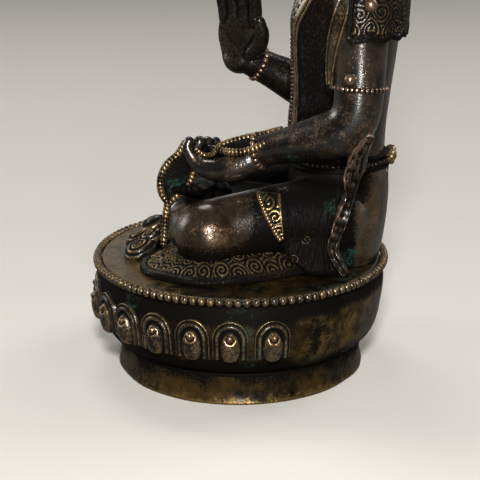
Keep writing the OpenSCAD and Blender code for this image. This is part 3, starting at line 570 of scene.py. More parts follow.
# %% [markdown]
# ## The plinth
# The base is hollow sheet bronze on an oval plan, a plain foot under a swelling drum. A lathe tool could
# turn a round one, but an oval needs one step more: a profile of radius and height is carried round the
# oval, where x is the radius times the oval's stretch times the cosine, and y the radius times the sine. A
# little unevenness keeps it from looking turned, because the real wall was beaten and filed by hand.

# %% Plinth
BASE_WIDTH, BASE_DEPTH = 94.0, 78.0
STRETCH = BASE_WIDTH / BASE_DEPTH
PLINTH_H, DRUM_H = 8.2, 20.8
FOOT_R = BASE_DEPTH / 2 - 6.8
LIP_R = FOOT_R - 1.1
HOLE_R = FOOT_R - 2.2
LIP_H = 2.0
PLATE_H = 0.85
AROUND = full_turn(480)


def turn(profile, angles):
    """Rows of points round the oval from a profile of radius and height."""
    radius, height = np.asarray(profile).T[..., None]
    x, y = radius * STRETCH * np.cos(angles), radius * np.sin(angles)
    return np.stack(np.broadcast_arrays(x, y, height), -1)


def oval_radius(points):
    """Distance from the middle with the oval pressed back into a circle."""
    return np.hypot(points[..., 0] / STRETCH, points[..., 1])


def dense(profile, step):
    """The same broken line with points every step mm, keeping its corners."""
    run = run_along(profile)
    even = np.linspace(0, run[-1], max(2, int(run[-1] / step)))
    return points_at(profile, np.unique(np.concatenate([run, even])))


wall_z = np.linspace(0.35, PLINTH_H - 0.2, 26)
wall_r = FOOT_R + smooth_rows([0, 0.12, 0.5, 1], [0.2, -0.1, -0.4, -0.2], wall_z / PLINTH_H)[:, 0]
plinth_inside = [[FOOT_R - 0.5, PLINTH_H - 0.05], [LIP_R, PLINTH_H - 0.05], [LIP_R, PLINTH_H + LIP_H],
                 [HOLE_R, PLINTH_H + LIP_H], [HOLE_R, PLATE_H], [HOLE_R + 1, PLATE_H], [HOLE_R + 1, 0],
                 [FOOT_R - 0.2, 0]]
plinth = turn(np.vstack([np.column_stack([wall_r, wall_z]), dense(plinth_inside, 1.5)]), AROUND)
beaten = 0.22 * uneven(plinth, 16, 1) * ease(FOOT_R - 1, FOOT_R - 0.6, oval_radius(plinth))
plinth = raised(plinth, beaten, True, True)
plinth[..., 2] = np.maximum(plinth[..., 2], 0.0)
z = plinth[..., 2]
# Bare metal a little all over, and a painted reflection that brightens towards the bottom.
plinth_rub_and_reflection = 0.12 + 0.38 * ease(5.4, 0.6, z)
# Painted shade towards the top, under the drum's overhang, and on the top edge, with random mottling.
plinth_shade_and_mottle = 0.55 * ease(2.5, 7.0, z) + 0.7 * ease(7.0, 7.6, z) + 0.30 * uneven(plinth, 9, 11)
plinth_skin = weather(hoop(plinth, worn=plinth_rub_and_reflection, deep=plinth_shade_and_mottle, brass=0.45))
cast("base_plinth_bronze", plinth_skin, base_bronze, "bronze_base", "base_plinth")

# %% [markdown]
# ## The drum and its deck
# The drum swells over the foot and closes in a flat deck, on which the figure sits. Ovals of chosen sizes
# could be lofted, but the turning that made the plinth keeps both on one oval: the wall is a smooth curve
# through six points of radius and height. Shade is painted under the rim and at the foot, soot lies by the
# petals, the plain back is rubbed, and the deck is rubbed in front.

# %% Drum
DECK_Z = PLINTH_H + DRUM_H
BEAD_D = 2.3
BEAD_R = (BASE_DEPTH - BEAD_D) / 2
BEAD_Z = DECK_Z - 0.2 * BEAD_D
BEAD_GAP = 0.05
LEDGE_Z = BEAD_Z - BEAD_D / 2 - BEAD_GAP
DECK_R = BEAD_R - BEAD_D / 2 - BEAD_GAP
DRUM_R = BEAD_R - 0.3
LIP_FIT = 0.15
drum_knots = [[FOOT_R - 0.2, PLINTH_H], [FOOT_R + 2.4, PLINTH_H + 1.9], [DRUM_R - 1.5, PLINTH_H + 4.3],
              [DRUM_R - 0.4, PLINTH_H + 0.46 * DRUM_H], [DRUM_R, PLINTH_H + 0.74 * DRUM_H],
              [DRUM_R - 0.5, LEDGE_Z]]
drum_wall = route(drum_knots, 66)
drum_inside = [[0.4, DECK_Z - 2], [DRUM_R - 2.2, DECK_Z - 2], [DRUM_R - 2.6, PLINTH_H + 9.6],
               [DRUM_R - 3.7, PLINTH_H + 4.3], [LIP_R + LIP_FIT, PLINTH_H + 3], [LIP_R + LIP_FIT, PLINTH_H],
               [FOOT_R - 0.5, PLINTH_H]]
deck_line = [[DRUM_R - 0.8, LEDGE_Z], [DECK_R, LEDGE_Z], [DECK_R, DECK_Z - 0.3], [DECK_R - 0.3, DECK_Z],
             [0.4, DECK_Z]]
drum = turn(np.vstack([dense(drum_inside, 3), drum_wall, dense(deck_line, 1.2)]), AROUND)
shell = ease(FOOT_R + 2, FOOT_R + 4, oval_radius(drum)) * ease(-0.1, 0.1, drum[..., 2] - PLINTH_H)
shell = shell * ease(LEDGE_Z - 1, LEDGE_Z - 3, drum[..., 2])
drum = raised(drum, 0.16 * uneven(drum, 14, 2) * shell, False, True)
y, z = drum[..., 1], drum[..., 2]
deck_rub = 0.75 * ease(DECK_Z - 0.2, DECK_Z, z) * ease(0, -26, y)
back_rub = 0.5 * ease(0.25, 0.6, np.sin(AROUND)) * ease(DECK_Z - 3, DECK_Z - 6, z)
deck_moss = ease(DECK_Z - 0.4, DECK_Z, z) * ease(8, 20, y) * ease(30, 36, oval_radius(drum))
off_front = np.abs((AROUND + 1.5 * np.pi) % (2 * np.pi) - np.pi)
# Painted shade under the beaded rim and at the foot of the drum, and soot on the wall by the petals.
wall_shade_and_soot = 0.85 * ease(21.5, 25.0, z) + 0.6 * ease(13.5, 10.5, z) + 0.2 * uneven(drum, 9, 12)
wall_shade_and_soot = (wall_shade_and_soot + 0.55 * ease(2.04, 1.92, off_front)) * ease(DECK_Z - 0.4, DECK_Z - 1.2, z)
drum_skin = weather(tube(drum, worn=deck_rub + back_rub, deep=wall_shade_and_soot, brass=0.35, moss=deck_moss))
cast("lotus_drum_bronze", drum_skin, base_bronze, "bronze_base", "lotus_drum")

# %% [markdown]
# ## Lotus petals
# Fifteen petals stand round the front and sides, one every fifteen degrees, and the back of the drum stays
# plain. They could be sculpted one by one. Here each is a small patch laid on the drum's wall and raised by
# a height field: a thin outer arch, a fat inner arch, and a smooth tongue with a ball over a crescent
# groove. Patches keep the fine mesh where the carving is.

# %% Petals round the drum
PETAL_PITCH = np.radians(15.0)
PETALS = 15
PETAL_H = 10.4
PETAL_FOOT_Z = 13.6
PETAL_HALF = 5.0
PETAL_SWAY = 0.00576
ARCH_Y, BALL_Y = 5.7, 6.55
OUTER_ARCH, INNER_ARCH = 4.35, 3.30
BALL_SIZE = 0.65


def petal_relief(x, y):
    """Height of a petal at x across and y up, in mm: sums of ridges by the distance from the arch's spine."""
    arch = np.where(y > ARCH_Y, np.hypot(x, (y - ARCH_Y) * 0.97), np.abs(x))
    legs = ease(-0.2, 0.9, y)
    bed = mix(-0.5, 0.35, ease(4.80, 4.45, arch) * ease(-0.9, 0.2, y))
    bed = bed + 0.55 * np.sqrt(np.clip(1 - (arch / 4.7) ** 2, 0, 1)) * legs
    outer = 0.42 * np.exp(-((arch - OUTER_ARCH) / 0.20) ** 2) * legs
    inner = 0.62 * np.exp(-np.abs((arch - INNER_ARCH) / 0.50) ** 3) * legs
    waist = 2.45 - 0.024 * np.clip(y - 2.9, 0, None) ** 2
    egg = np.abs(x / waist) ** 2.3 + np.abs((y - 3.7) / 4.1) ** 2.3
    tongue = 1.75 * np.sqrt(np.clip(1 - egg, 0, 1))
    reach = np.hypot(x, y - BALL_Y)
    dome = 1.05 + np.sqrt(np.clip(BALL_SIZE**2 - reach**2, 0, None))
    crescent = 0.5 * np.exp(-((reach - 1.05) / 0.24) ** 2) * ease(0.3, -0.5, y - BALL_Y)
    carved = np.maximum(tongue - crescent * (tongue > 0), np.where(reach < BALL_SIZE, dome, 0))
    on_tongue = (egg < 1) | (reach < BALL_SIZE)
    valley = ease(2.75, 2.4, arch) * (egg > 1) * (reach > BALL_SIZE) * ease(-0.4, 0.4, y)
    return bed + outer + inner + carved, valley, on_tongue


petal_x = np.linspace(-PETAL_HALF, PETAL_HALF, 66)
petal_y = np.linspace(-1.0, PETAL_H + 0.2, 76)
petal_height, valley, on_tongue = petal_relief(*np.meshgrid(petal_x, petal_y))
petal_foot = np.interp(PETAL_FOOT_Z, drum_wall[:, 1], run_along(drum_wall))
petal_profile = points_at(drum_wall, petal_foot + petal_y)
petals = []
for k in range(PETALS):
    middle = -np.pi / 2 + (k - PETALS // 2) * PETAL_PITCH + PETAL_SWAY * np.sin(2.3 * k)
    patch = turn(petal_profile, middle + petal_x / PETAL_HALF * PETAL_PITCH / 2 * 0.99)
    patch = raised(patch, petal_height * (1 + 0.08 * np.sin(5.1 * k)))
    petals.append(form(patch, grid_quads(*petal_height.shape), deep=0.9 * valley,
                       worn=0.68 * on_tongue - 0.20, brass=np.where(on_tongue, 0.1, 0.8)))
cast("lotus_petals", weather(together(*petals), 2, 1.6, 0.9), chased_bronze, "bronze_base")

# %% [markdown]
# ## Beaded rim
# A row of punched beads runs round the edge of the deck. An array modifier could repeat one bead along a
# curve. Here steps of equal length along the oval come from adding up short chords, and one small ball is
# copied to every step, a little larger or smaller as a punch would leave it. A thin wire lies under them.

# %% Beads on the rim
BEAD_PITCH = BEAD_D * 0.96


def bead_spots(line, pitch, least=1):
    """Points in the middle of equal steps along a line, each step as near to the pitch as fits."""
    length = run_along(line)[-1]
    count = max(least, int(round(length / pitch)))
    return points_at(line, (np.arange(count) + 0.5) / count * length)


rim_line = turn([[BEAD_R, BEAD_Z]], np.linspace(-np.pi / 2, 1.5 * np.pi, 2881))[0]
rim_spots = bead_spots(rim_line, BEAD_PITCH)
rim_sizes = BEAD_D / 2 * (0.965 + 0.035 * np.sin(12.9 * np.arange(len(rim_spots)) ** 1.3))
rim_beads = balls(rim_spots, rim_sizes, rows=5, cols=10, worn=-0.22, brass=0.2)
rim_wire = hoop(sweep(turn([[BEAD_R, BEAD_Z - 0.15]], AROUND)[0], circle(8, 0.72), UP, True), deep=0.8)
rim_row = weather(together(rim_beads, rim_wire), 1, 1.2, 0.8)
cast("rim_bead_row", rim_row, chased_bronze, "bronze_base", "rim_beads")

# %% [markdown]
# ## Strings of beads
# Garlands, armlets and bracelets are rows of beads on a wire. Modifiers on a curve could make each of them,
# but one function serves for all: beads sit at equal steps along a path, and the wire is a thin tube
# through them, so that they read as one casting and no bead floats.

# %% Bead strings


def string(path, bead, wrap=False, wire_share=0.5, gap=0.98):
    """Balls at equal steps along a path, on a thin wire; a gap under 1 lets the balls overlap."""
    spots = bead_spots(np.concatenate([path, path[:1]]) if wrap else path, bead * gap, 3)
    sizes = bead / 2 * (0.96 + 0.05 * np.sin(7.3 * np.arange(len(spots))))
    rings = sweep(path, circle(8, bead / 2 * wire_share), [0.31, 0.2, 0.93], wrap)
    wire = hoop(rings, deep=0.7) if wrap else tube(rings, deep=0.7)
    return together(balls(spots, sizes, rows=5, cols=9, worn=0.2), wire)


print("a string of 10 mm has", len(bead_spots(np.array([[0, 0, 0], [10, 0, 0]]), 1.0, 3)), "beads of 1 mm")

# %% [markdown]
# ## Incised clouds
# Cloud scrolls are cut as tight spirals that crowd together. Drawing each line would be long work. Instead
# every point takes the nearest spiral centre, and its distance divided by the pitch, plus its angle as a
# share of a turn, is the phase of a spiral line. Alternate centres turn the other way, and where two
# spirals meet the lines break as they do under a graver.

# %% Scroll pattern


def scrolls(x, y, centres, pitch):
    """Height from 0 in a cut line to 1 between lines, of spirals round the nearest of the centres."""
    dx, dy = x[..., None] - centres[:, 0], y[..., None] - centres[:, 1]
    nearest = np.argmin(np.hypot(dx, dy), -1)[..., None]
    dx, dy = (np.take_along_axis(a, nearest, -1)[..., 0] for a in (dx, dy))
    hand = np.where(nearest[..., 0] % 2 == 0, 1.0, -1.0)
    phase = np.hypot(dx, dy) / pitch + hand * np.arctan2(dy, dx) / (2 * np.pi)
    return 0.5 + 0.5 * np.cos(2 * np.pi * phase)


def scatter(width, depth, spacing, seed):
    """Centres on a staggered lattice over width x depth with a little random shift."""
    draw = np.random.default_rng(seed)
    cols, rows = max(1, int(width / spacing)), max(1, int(round(depth / spacing)))
    i, j = np.meshgrid(np.arange(cols), np.arange(rows))
    spots = np.stack([(i + 0.5 * (j % 2) + 0.25) * width / cols, (j + 0.5) * depth / rows], -1).reshape(-1, 2)
    return spots + draw.uniform(-0.18, 0.18, spots.shape) * spacing


print("scroll check:", scrolls(np.zeros(1), np.zeros(1), np.array([[1.0, 0.0]]), 1.0))

# %% [markdown]
# ## Melting limbs together
# Thighs, shins and hips flow into each other on a casting, and so do a palm and its fingers. Joining them
# with booleans would leave hard seams. Each limb is a round tube along a path; a voxel remesh melts the
# tubes into one skin, and a few rounds of smoothing take away the seams between them.

# %% Limbs and the melt


def limb(path, radii, count=40, sides=28, flat=1.0):
    """A round-ended tube: circles along a smooth path, with two short domes; flat squeezes it upright."""
    line = route(path, count)
    radius = smooth(radii, count)
    dome = np.radians([80, 60, 40, 20])
    run = unit(slope(line, 0, False))
    line = np.concatenate([line[0] - run[0] * radius[0] * np.sin(dome)[:, None], line,
                           line[-1] + run[-1] * radius[-1] * np.sin(dome[::-1])[:, None]])
    radius = np.concatenate([radius[0] * np.cos(dome), radius, radius[-1] * np.cos(dome[::-1])])
    hint = UP if abs(run[:, 2]).mean() < 0.7 else [0.0, 1.0, 0.0]
    return tube(sweep(line, circle(sides) * radius[:, None, None] * [flat, 1.0], hint))


def mirrored(shape, flip=(-1, 1, 1)):
    """The same form on the other side: one axis, by default x, changes sign and the faces turn round."""
    return form(shape["points"] * flip, shape["quads"][:, ::-1], shape["tris"][:, ::-1], **shape["fields"])


def fuse(shapes, voxel, relax):
    """One skin over overlapping closed forms: voxel remesh, then some rounds of smoothing."""
    whole = together(*shapes)
    mesh = bpy.data.meshes.new("melt")
    mesh.from_pydata((whole["points"] * MM).tolist(), [], whole["quads"].tolist() + whole["tris"].tolist())
    obj = bpy.data.objects.new("melt", mesh)
    scene.collection.objects.link(obj)
    melt = obj.modifiers.new("melt", "REMESH")
    melt.mode = "VOXEL"
    melt.voxel_size = voxel * MM
    soften = obj.modifiers.new("soften", "SMOOTH")
    soften.factor = 0.5
    soften.iterations = relax
    ready = obj.evaluated_get(bpy.context.evaluated_depsgraph_get())
    skin = ready.to_mesh()
    points = np.empty(len(skin.vertices) * 3)
    skin.vertices.foreach_get("co", points)
    corners = np.empty(len(skin.loops), int)
    skin.loops.foreach_get("vertex_index", corners)
    sizes = np.empty(len(skin.polygons), int)
    skin.polygons.foreach_get("loop_total", sizes)
    starts = np.cumsum(sizes) - sizes
    quads, tris = (corners[starts[sizes == n][:, None] + np.arange(n)] for n in (4, 3))
    melted = form(points / MM, quads, tris)
    ready.to_mesh_clear()
    bpy.data.objects.remove(obj)
    bpy.data.meshes.remove(mesh)
    return melted


def ovals(rows, count=90, sides=96, power=2.0):
    """A loft of ovals; each row gives height, half width, reach in front, reach behind, and middle y."""
    rows = np.asarray(rows, float)
    z = np.linspace(rows[0, 0], rows[-1, 0], count)
    wide, front, back, middle = smooth_rows(rows[:, 0], rows[:, 1:], z).T[..., None]
    t = full_turn(sides)
    c, s = (np.sign(a) * np.abs(a) ** (2 / power) for a in (np.cos(t), np.sin(t)))
    return np.stack(np.broadcast_arrays(wide * c, middle + np.where(s < 0, front, back) * s, z[:, None]), -1)


print("a ball melts into", len(fuse([balls([[0, 0, 0]], [5.0])], 1.0, 2)["points"]), "points")

# %% [markdown]
# ## Folded legs
# The legs are one hollow casting of hips, thighs, round knees and crossed shins, with the lap between them.
# It could be sculpted from a block, but a limb that follows a few points is easy to move, and the melt
# makes one skin of them. Knees and hips are rubbed bright by hands. Shade is painted under the knees, on
# the thighs behind the knees and on the hips under the forearms and beside the scarves, and the lap is
# darkened, all as formulas of the place.

# %% Crossed legs
AXIS_Y = 25.35
SEAT_Z = DECK_Z + 3.6
SEAM_Z = SEAT_Z + 20.4
THIGH_PATH = [[12, 23, 41.6], [14.4, 11.5, 41.7], [17.0, 1.5, 40.4], [19.4, -7.0, 38.9]]
THIGH_RADII = [10.2, 9.2, 8.6, 8.6]
LEFT_SHIN = [[17.6, -10.6, 38.8], [13, -11.6, 39.2], [3, -12.6, 38.6], [-8, -11.8, 38.0]]
RIGHT_SHIN = [[17.6, -10.6, 39.2], [13, -10.8, 41.6], [3, -11.6, 43.2], [-7, -10.8, 45.0]]
hips = tube(ovals([[29.1, 17.2, 12, 11.0, AXIS_Y], [34, 18.4, 13, 12.0, AXIS_Y], [42, 17.6, 13, 13.0, AXIS_Y],
                   [49, 15.0, 13, 13.2, AXIS_Y], [54.5, 12.6, 12, 12.2, AXIS_Y]]))
lap_fill = tube(ovals([[31.0, 15, 16, 14, 2], [36, 19, 19, 18, 2], [41, 18, 17, 18, 2],
                       [45.5, 12, 10, 16, 6]]))
thigh = limb(THIGH_PATH, THIGH_RADII)
knee = balls([[20.4, -7.0, 38.9]], [8.9], rows=30, cols=48)
shins = [limb(LEFT_SHIN, [6.3, 6.4, 5.8, 4.2]), mirrored(limb(RIGHT_SHIN, [6.3, 6.4, 5.6, 4.2]))]
limbs = [thigh, mirrored(thigh), knee, mirrored(knee), *shins]
legs = weather(fuse([hips, *limbs, lap_fill], 0.62, 5), 8, 0.5, 0.16)
x, y, z = legs["points"].T
x = np.abs(x)
knee_rub = 0.8 * np.exp(-(((x - 27) / 8) ** 2 + ((y + 5) / 8.5) ** 2 + ((z - 41.0) / 5.5) ** 2))
hip_rub = 0.75 * np.exp(-((y - 34.5) / 3.5) ** 2 - ((z - 41) / 5) ** 2)
# Painted shade under the knees, on the thighs behind them and on the hips by the forearms and scarves.
under_knee_shade = ease(43.0, 33.5, z) ** 1.6 * ease(24, 12, y)
thigh_back_shade = 0.95 * ease(0, 8, y) * ease(24, 16, y) * ease(54, 48, z)
hip_shade = ease(12, 18, y) * np.maximum(ease(36, 31, y) * ease(44.5, 48.5, z), 0.9 * ease(31.5, 28.5, y))
# The lap between the legs is darkened.
lap_darkening = 1.1 * ease(17, 11, x) * ease(42.5, 45.5, z) * ease(24, 18, y)
soot = under_knee_shade + thigh_back_shade + hip_shade + lap_darkening
damp = np.exp(-((y - 33) / 6) ** 2 - ((z - 33) / 4) ** 2)
damp = damp + 0.4 * np.exp(-((y - 16) / 9) ** 2 - ((z - 52) / 3) ** 2)
legs = coated(legs, worn=np.clip(0.5 * legs["fields"]["worn"] + knee_rub + hip_rub - 0.3, -0.4, 1),
              deep=np.clip(legs["fields"]["deep"] + soot, 0, 1), moss=damp)
cast("folded_legs", legs, smooth_bronze, "bronze_body", "crossed_legs")

# %% [markdown]
# ## Hem of the seat cloth
# The skirt spreads from under the knees and ends in a broad chased hem on the deck. It could be simulated
# as cloth, but a casting lies as its maker left it. So the hem is a section carried along its outline: a
# sloping top with cloud scrolls, a rolled lip and a flat underside.

# %% Hem
HEM_FLOOR = DECK_Z + 0.06
HEM_WIDTH, HEM_RISE = 8.2, 4.4
LIP_BULGE = 0.55
SEAT_MIDDLE = np.array([0, 4.0, 0])
HALF_HEM = [[17.5, 22], [22, 16.5], [27.5, 9], [31.6, 1], [33.0, -6.5], [31.6, -14], [27.6, -20],
            [21.6, -23.8], [14.5, -24.2], [7, -22.2], [0, -20.8]]
hem_line = route([[x, y, 0] for x, y in HALF_HEM] + [[-x, y, 0] for x, y in HALF_HEM[-2::-1]], 660)
hem_run = np.linspace(0, run_along(hem_line)[-1], len(hem_line))[:, None]
hem_in = -unit(np.cross(slope(hem_line, 0, False), UP))
hem_in = (hem_in * np.sign(np.sum(hem_in * (SEAT_MIDDLE - hem_line), -1, keepdims=True)))[:, None]
toward_front = ease(-8, -22, hem_line[:, 1]) * ease(6, 14, np.abs(hem_line[:, 0]))
hem_width = (HEM_WIDTH + 3.4 * toward_front)[:, None]
hem_rise = (HEM_RISE - 0.4 * toward_front + 1.2 * ease(4, 16, hem_line[:, 1]))[:, None]
share = np.linspace(0, 1, 52)[None, :]
reach = hem_width * share
hem_cut = scrolls(hem_run + 0 * reach, reach, scatter(hem_run[-1, 0], 9.6, 4.6, 5), 1.18)
border = ease(1.25, 0.95, reach) + ease(7.6, 8.0, reach)
groove = np.exp(-((reach - 1.3) / 0.22) ** 2)
hem_relief = np.where(border > 0.5, 0.32, 0.34 * hem_cut) - 0.3 * groove
edge_wave = 0.35 * np.sin(hem_run / 3.1) * (1 - share) ** 2
hem_top = hem_line[:, None] + hem_in * reach[..., None]
hem_top[..., 2] = DECK_Z + mix(1.15, hem_rise + 1.0, ease(-0.15, 1.05, share)) + edge_wave + hem_relief
lip_turn = np.linspace(0, np.pi, 8)[None, 1:]
lip = hem_line[:, None] - hem_in * (LIP_BULGE * np.sin(lip_turn))[..., None]
lip[..., 2] = HEM_FLOOR + (hem_top[:, :1, 2] - HEM_FLOOR) / 2 * (1 + np.cos(lip_turn))
underside = hem_line[:, None] + hem_in * (hem_width * np.linspace(0.1, 1, 6))[..., None]
underside[..., 2] = HEM_FLOOR
# Soot in the cut lines, painted shade on the inner part under the knees, and a darker outer border.
hem_cut_soot_and_shade = 0.95 * (1 - hem_cut) * (border < 0.5) + 0.8 * ease(0.75, 0.95, share)
hem_cut_soot_and_shade = hem_cut_soot_and_shade + 0.45 * ease(1.25, 0.95, reach)
# The lip is painted dark as the shade under the lifted edge; the underside lies on the deck.
lip_and_underside = np.full((len(hem_line), lip.shape[1] + underside.shape[1]), 1.0)
hem_soot_and_shade = np.concatenate([hem_cut_soot_and_shade[:, ::-1], 0.75 * lip_and_underside], 1)
hem_brass = np.concatenate([np.full(reach.shape, 0.85), 0.6 * lip_and_underside], 1)


def outward(shape):
    """The same closed form, its faces turned over if they enclose a negative volume."""
    p, q, t = shape["points"], shape["quads"], shape["tris"]
    a, b, c = p[np.concatenate([q[:, [0, 1, 2]], q[:, [0, 2, 3]], t])].swapaxes(0, 1)
    if np.sum(a * np.cross(b, c)) < 0:
        shape["quads"], shape["tris"] = q[:, ::-1], t[:, ::-1]
    return shape


hem_section = np.concatenate([hem_top[:, ::-1], lip, underside], 1)
hem = outward(tube(hem_section, deep=hem_soot_and_shade, brass=hem_brass, worn=0.25))
print("hem", hem["points"].min(0).round(1), hem["points"].max(0).round(1))

# %% [markdown]
# ## Fan of folds
# In front of the ankles the hem gathers in a fan of swirled folds. Sculpting would do, but each is the same
# low cushion with one spiral cut into it, so one function makes all six and also the discs in the ears.

# %% Fan


def fold(centre, along, up, length, width, height, pitch=1.2):
    """A low cushion on an oval: height times (1 - rho^2.6)^0.55, with a spiral cut round its middle."""
    up = unit(up)
    side = unit(np.cross(up, unit(along)))
    along = np.cross(side, up)
    rho = np.linspace(0.03, 1, 30)[:, None]
    t = full_turn(72)[None, :]
    cut = 0.5 + 0.5 * np.cos(2 * np.pi * (rho * width / pitch - t / (2 * np.pi)))
    cut = np.where(rho < 0.2, 0.8, cut)
    lift = height * np.clip(1 - rho**2.6, 0, 1) ** 0.55 - 0.3 * (1 - cut) * ease(1.0, 0.85, rho)
    ahead = (length * rho * np.cos(t))[..., None]
    aside = (width * rho * (1 + 0.22 * np.cos(t)) * np.sin(t))[..., None]
    top = np.asarray(centre, float) + along * ahead + side * aside + up * lift[..., None]
    foot = top[-1:] * 0.85 + np.asarray(centre) * 0.15 - up * 1.4
    soot = 0.8 * np.concatenate([1 - cut, np.zeros_like(cut[:1])])
    return tube(np.concatenate([top, foot])[::-1], deep=soot[::-1], brass=0.35, worn=0.40)


fan = [fold([0, -26.6, 32.2], [0.0, -1, -0.1], [0.1, -0.45, 0.9], 4.4, 3.4, 2.2),
       fold([-2.4, -23.4, 35.4], [0.0, -1, -0.2], [0.15, -0.5, 0.85], 4.2, 3.8, 2.0, 3.0)]
for d in (1, -1):
    fan += [fold([7.2 * d, -26.0, 31.0], [0.25 * d, -1, 0.05], [0.3 * d, -0.35, 0.9], 4.6, 3.9, 2.2),
            fold([4.0 * d, -23.4, 33.6], [0.2 * d, -1, -0.1], [0.3 * d, -0.4, 0.9], 3.8, 2.6, 1.8)]
seat_cloth = weather(together(hem, *fan), 2, 1.6, 1.0)
cast("seat_cloth_chased", seat_cloth, chased_bronze, "bronze_base", "seat_cloth")

# %% [markdown]
# ## Torso
# The body is a hollow casting from the waist to the neck. Sculpting would give it muscles, but this figure
# is as smooth as a vase, so it is a loft of ovals. A chased sash lies over the chest on each side, from the
# shoulder to the waist; its height is added to the loft as a flat band with three cut lines, placed by the
# angle from the front.

# %% Torso with sash bands
NECK_Z = SEAM_Z + 57.0
NECK_Y = 28.35
FLANK = 15.4
CHEST_R = 13.5
TORSO_ROWS = np.array([[52.6, 12.0, 11.7, 11.7, 25.3], [63.3, 12.0, 12.3, 11.7, 25.9],
                       [73.0, 13.5, 12.3, 12.3, 26.4], [84.4, FLANK, 13.4, 13.2, 27.0],
                       [92.9, FLANK, 13.7, 13.8, 27.4], [99.7, FLANK - 0.4, 11.9, 13.3, 27.8],
                       [104.3, 11.6, 8.4, 11.2, 28.0], [107.4, 8.4, 7.2, 8.6, 28.2],
                       [110.0, 5.9, 5.9, 5.9, NECK_Y]])


def torso_sizes(z):
    """Half width, reach in front, reach behind and middle y of the torso at heights of any shape."""
    return smooth_rows(TORSO_ROWS[:, 0], TORSO_ROWS[:, 1:], np.ravel(z)).T.reshape((4,) + np.shape(z))


torso = ovals(TORSO_ROWS, 250, 300, 2.35)
x, y, z = np.moveaxis(torso, -1, 0)
around = np.degrees(np.arctan2(x, torso_sizes(z[:, :1])[3] - y))
off_front = np.abs(around)


def sash(off_front, z, middle, half, low, high):
    """Height and place of a band whose middle lies at an angle from the front: flat, with three cut lines."""
    d = np.radians(off_front - middle) * CHEST_R
    taper = half * ease(low, low + 5, z)
    inside = ease(taper + 0.05, taper - 0.45, np.abs(d)) * (taper > 0.4) * ease(high, high - 3, z)
    stitches = 0.5 + 0.5 * np.sin(z * 3.2)
    cut = np.exp(-((np.abs(d) - 0.72 * half) / 0.24) ** 2) + 0.7 * np.exp(-(d / 0.22) ** 2) * stitches
    return inside * (0.72 - 0.42 * cut), inside


band_angle = np.interp(z, [58, 85, 91, 97, 103, 108], [17, 22, 29, 41, 62, 72])
band, in_band = sash(off_front, z, band_angle, 3.0, 56, 109)
chest = 0.7 * np.exp(-((off_front - 30) / 16) ** 2 - ((z - 91.5) / 5.5) ** 2)
navel = -0.8 * np.exp(-(around / 6) ** 2 - ((z - 66) / 1.2) ** 2)
spine = -0.6 * np.exp(-((180 - off_front) / 9) ** 2) * ease(60, 70, z) * ease(104, 94, z)
# The bare front between the bands is black with patina and with painted shade.
bare_front = ease(86, 70, off_front) * (1 - in_band)
torso_skin = tube(raised(torso, band + chest + navel + spine, False, True), brass=0.9 * in_band,
                  deep=0.7 * bare_front, worn=0.62 * in_band - 0.08)
cast("torso_bronze", weather(torso_skin, 3, 0.8, 0.5), body_bronze, "bronze_body", "torso")

# %% [markdown]
# ## Cloth over the thighs
# Behind each knee the skirt lies over the thigh and hangs to the seat, with thin scroll lines cut into it,
# and a brassy pointed flap lies on its front edge. A shrinkwrap could press sheets on the legs. Here a
# sheet is seen from the side: for every place (y, z) it takes the outermost x of thigh and hip, and below
# the thigh's middle it drops like a curtain. So the cut lines can be drawn in plain side view.

# %% Thigh cloth
CURTAIN_Z = 39.0
HIP_HALF_X, HIP_HALF_Y = 17.4, 12.6
thigh_line = route(THIGH_PATH, 60)
thigh_girth = smooth(THIGH_RADII, 60)


def slab(top, bottom, under=None, **fields):
    """A closed sheet between two grids of one size; fields hold on top, and under, or 0, beneath."""
    rows, cols = top.shape[:2]
    count = rows * cols
    index = np.arange(count).reshape(rows, cols)
    rim = np.concatenate([index[0, :-1], index[:-1, -1], index[-1, :0:-1], index[:0:-1, 0]])
    after = np.roll(rim, -1)
    face = grid_quads(rows, cols)
    sides = np.stack([rim, rim + count, after + count, after], -1)
    quads = np.concatenate([face, face[:, ::-1] + count, sides])
    tops = {k: np.ravel(np.broadcast_to(v, (rows, cols))) for k, v in fields.items()}
    full = {k: np.concatenate([v, np.full(count, (under or {}).get(k, 0.0))]) for k, v in tops.items()}
    return outward(form(np.concatenate([top.reshape(-1, 3), bottom.reshape(-1, 3)]), quads, **full))


def thigh_side(y, z):
    """Outermost x of the thigh's balls and of the hip's oval at a place seen from the side."""
    high = np.maximum(z, CURTAIN_Z)
    gap = thigh_girth**2 - (y[..., None] - thigh_line[:, 1]) ** 2 - (high[..., None] - thigh_line[:, 2]) ** 2
    on_thigh = np.where(gap > 0, thigh_line[:, 0] + np.sqrt(np.maximum(gap, 0)), 0).max(-1)
    on_hip = HIP_HALF_X * np.sqrt(np.clip(1 - ((y - AXIS_Y) / HIP_HALF_Y) ** 2, 0, 1)) * ease(58, 50, z)
    return np.maximum(on_thigh, on_hip) + 0.14 * np.clip(38.0 - z, 0, None)


def side_sheet(y, z, lift, **fields):
    """A closed sheet on the thigh's side: its face stands out by lift, and its back lies in the flesh."""
    x = thigh_side(y, z)
    return slab(np.stack([x + lift, y, z], -1), np.stack([x - 0.9, y, z], -1), **fields)


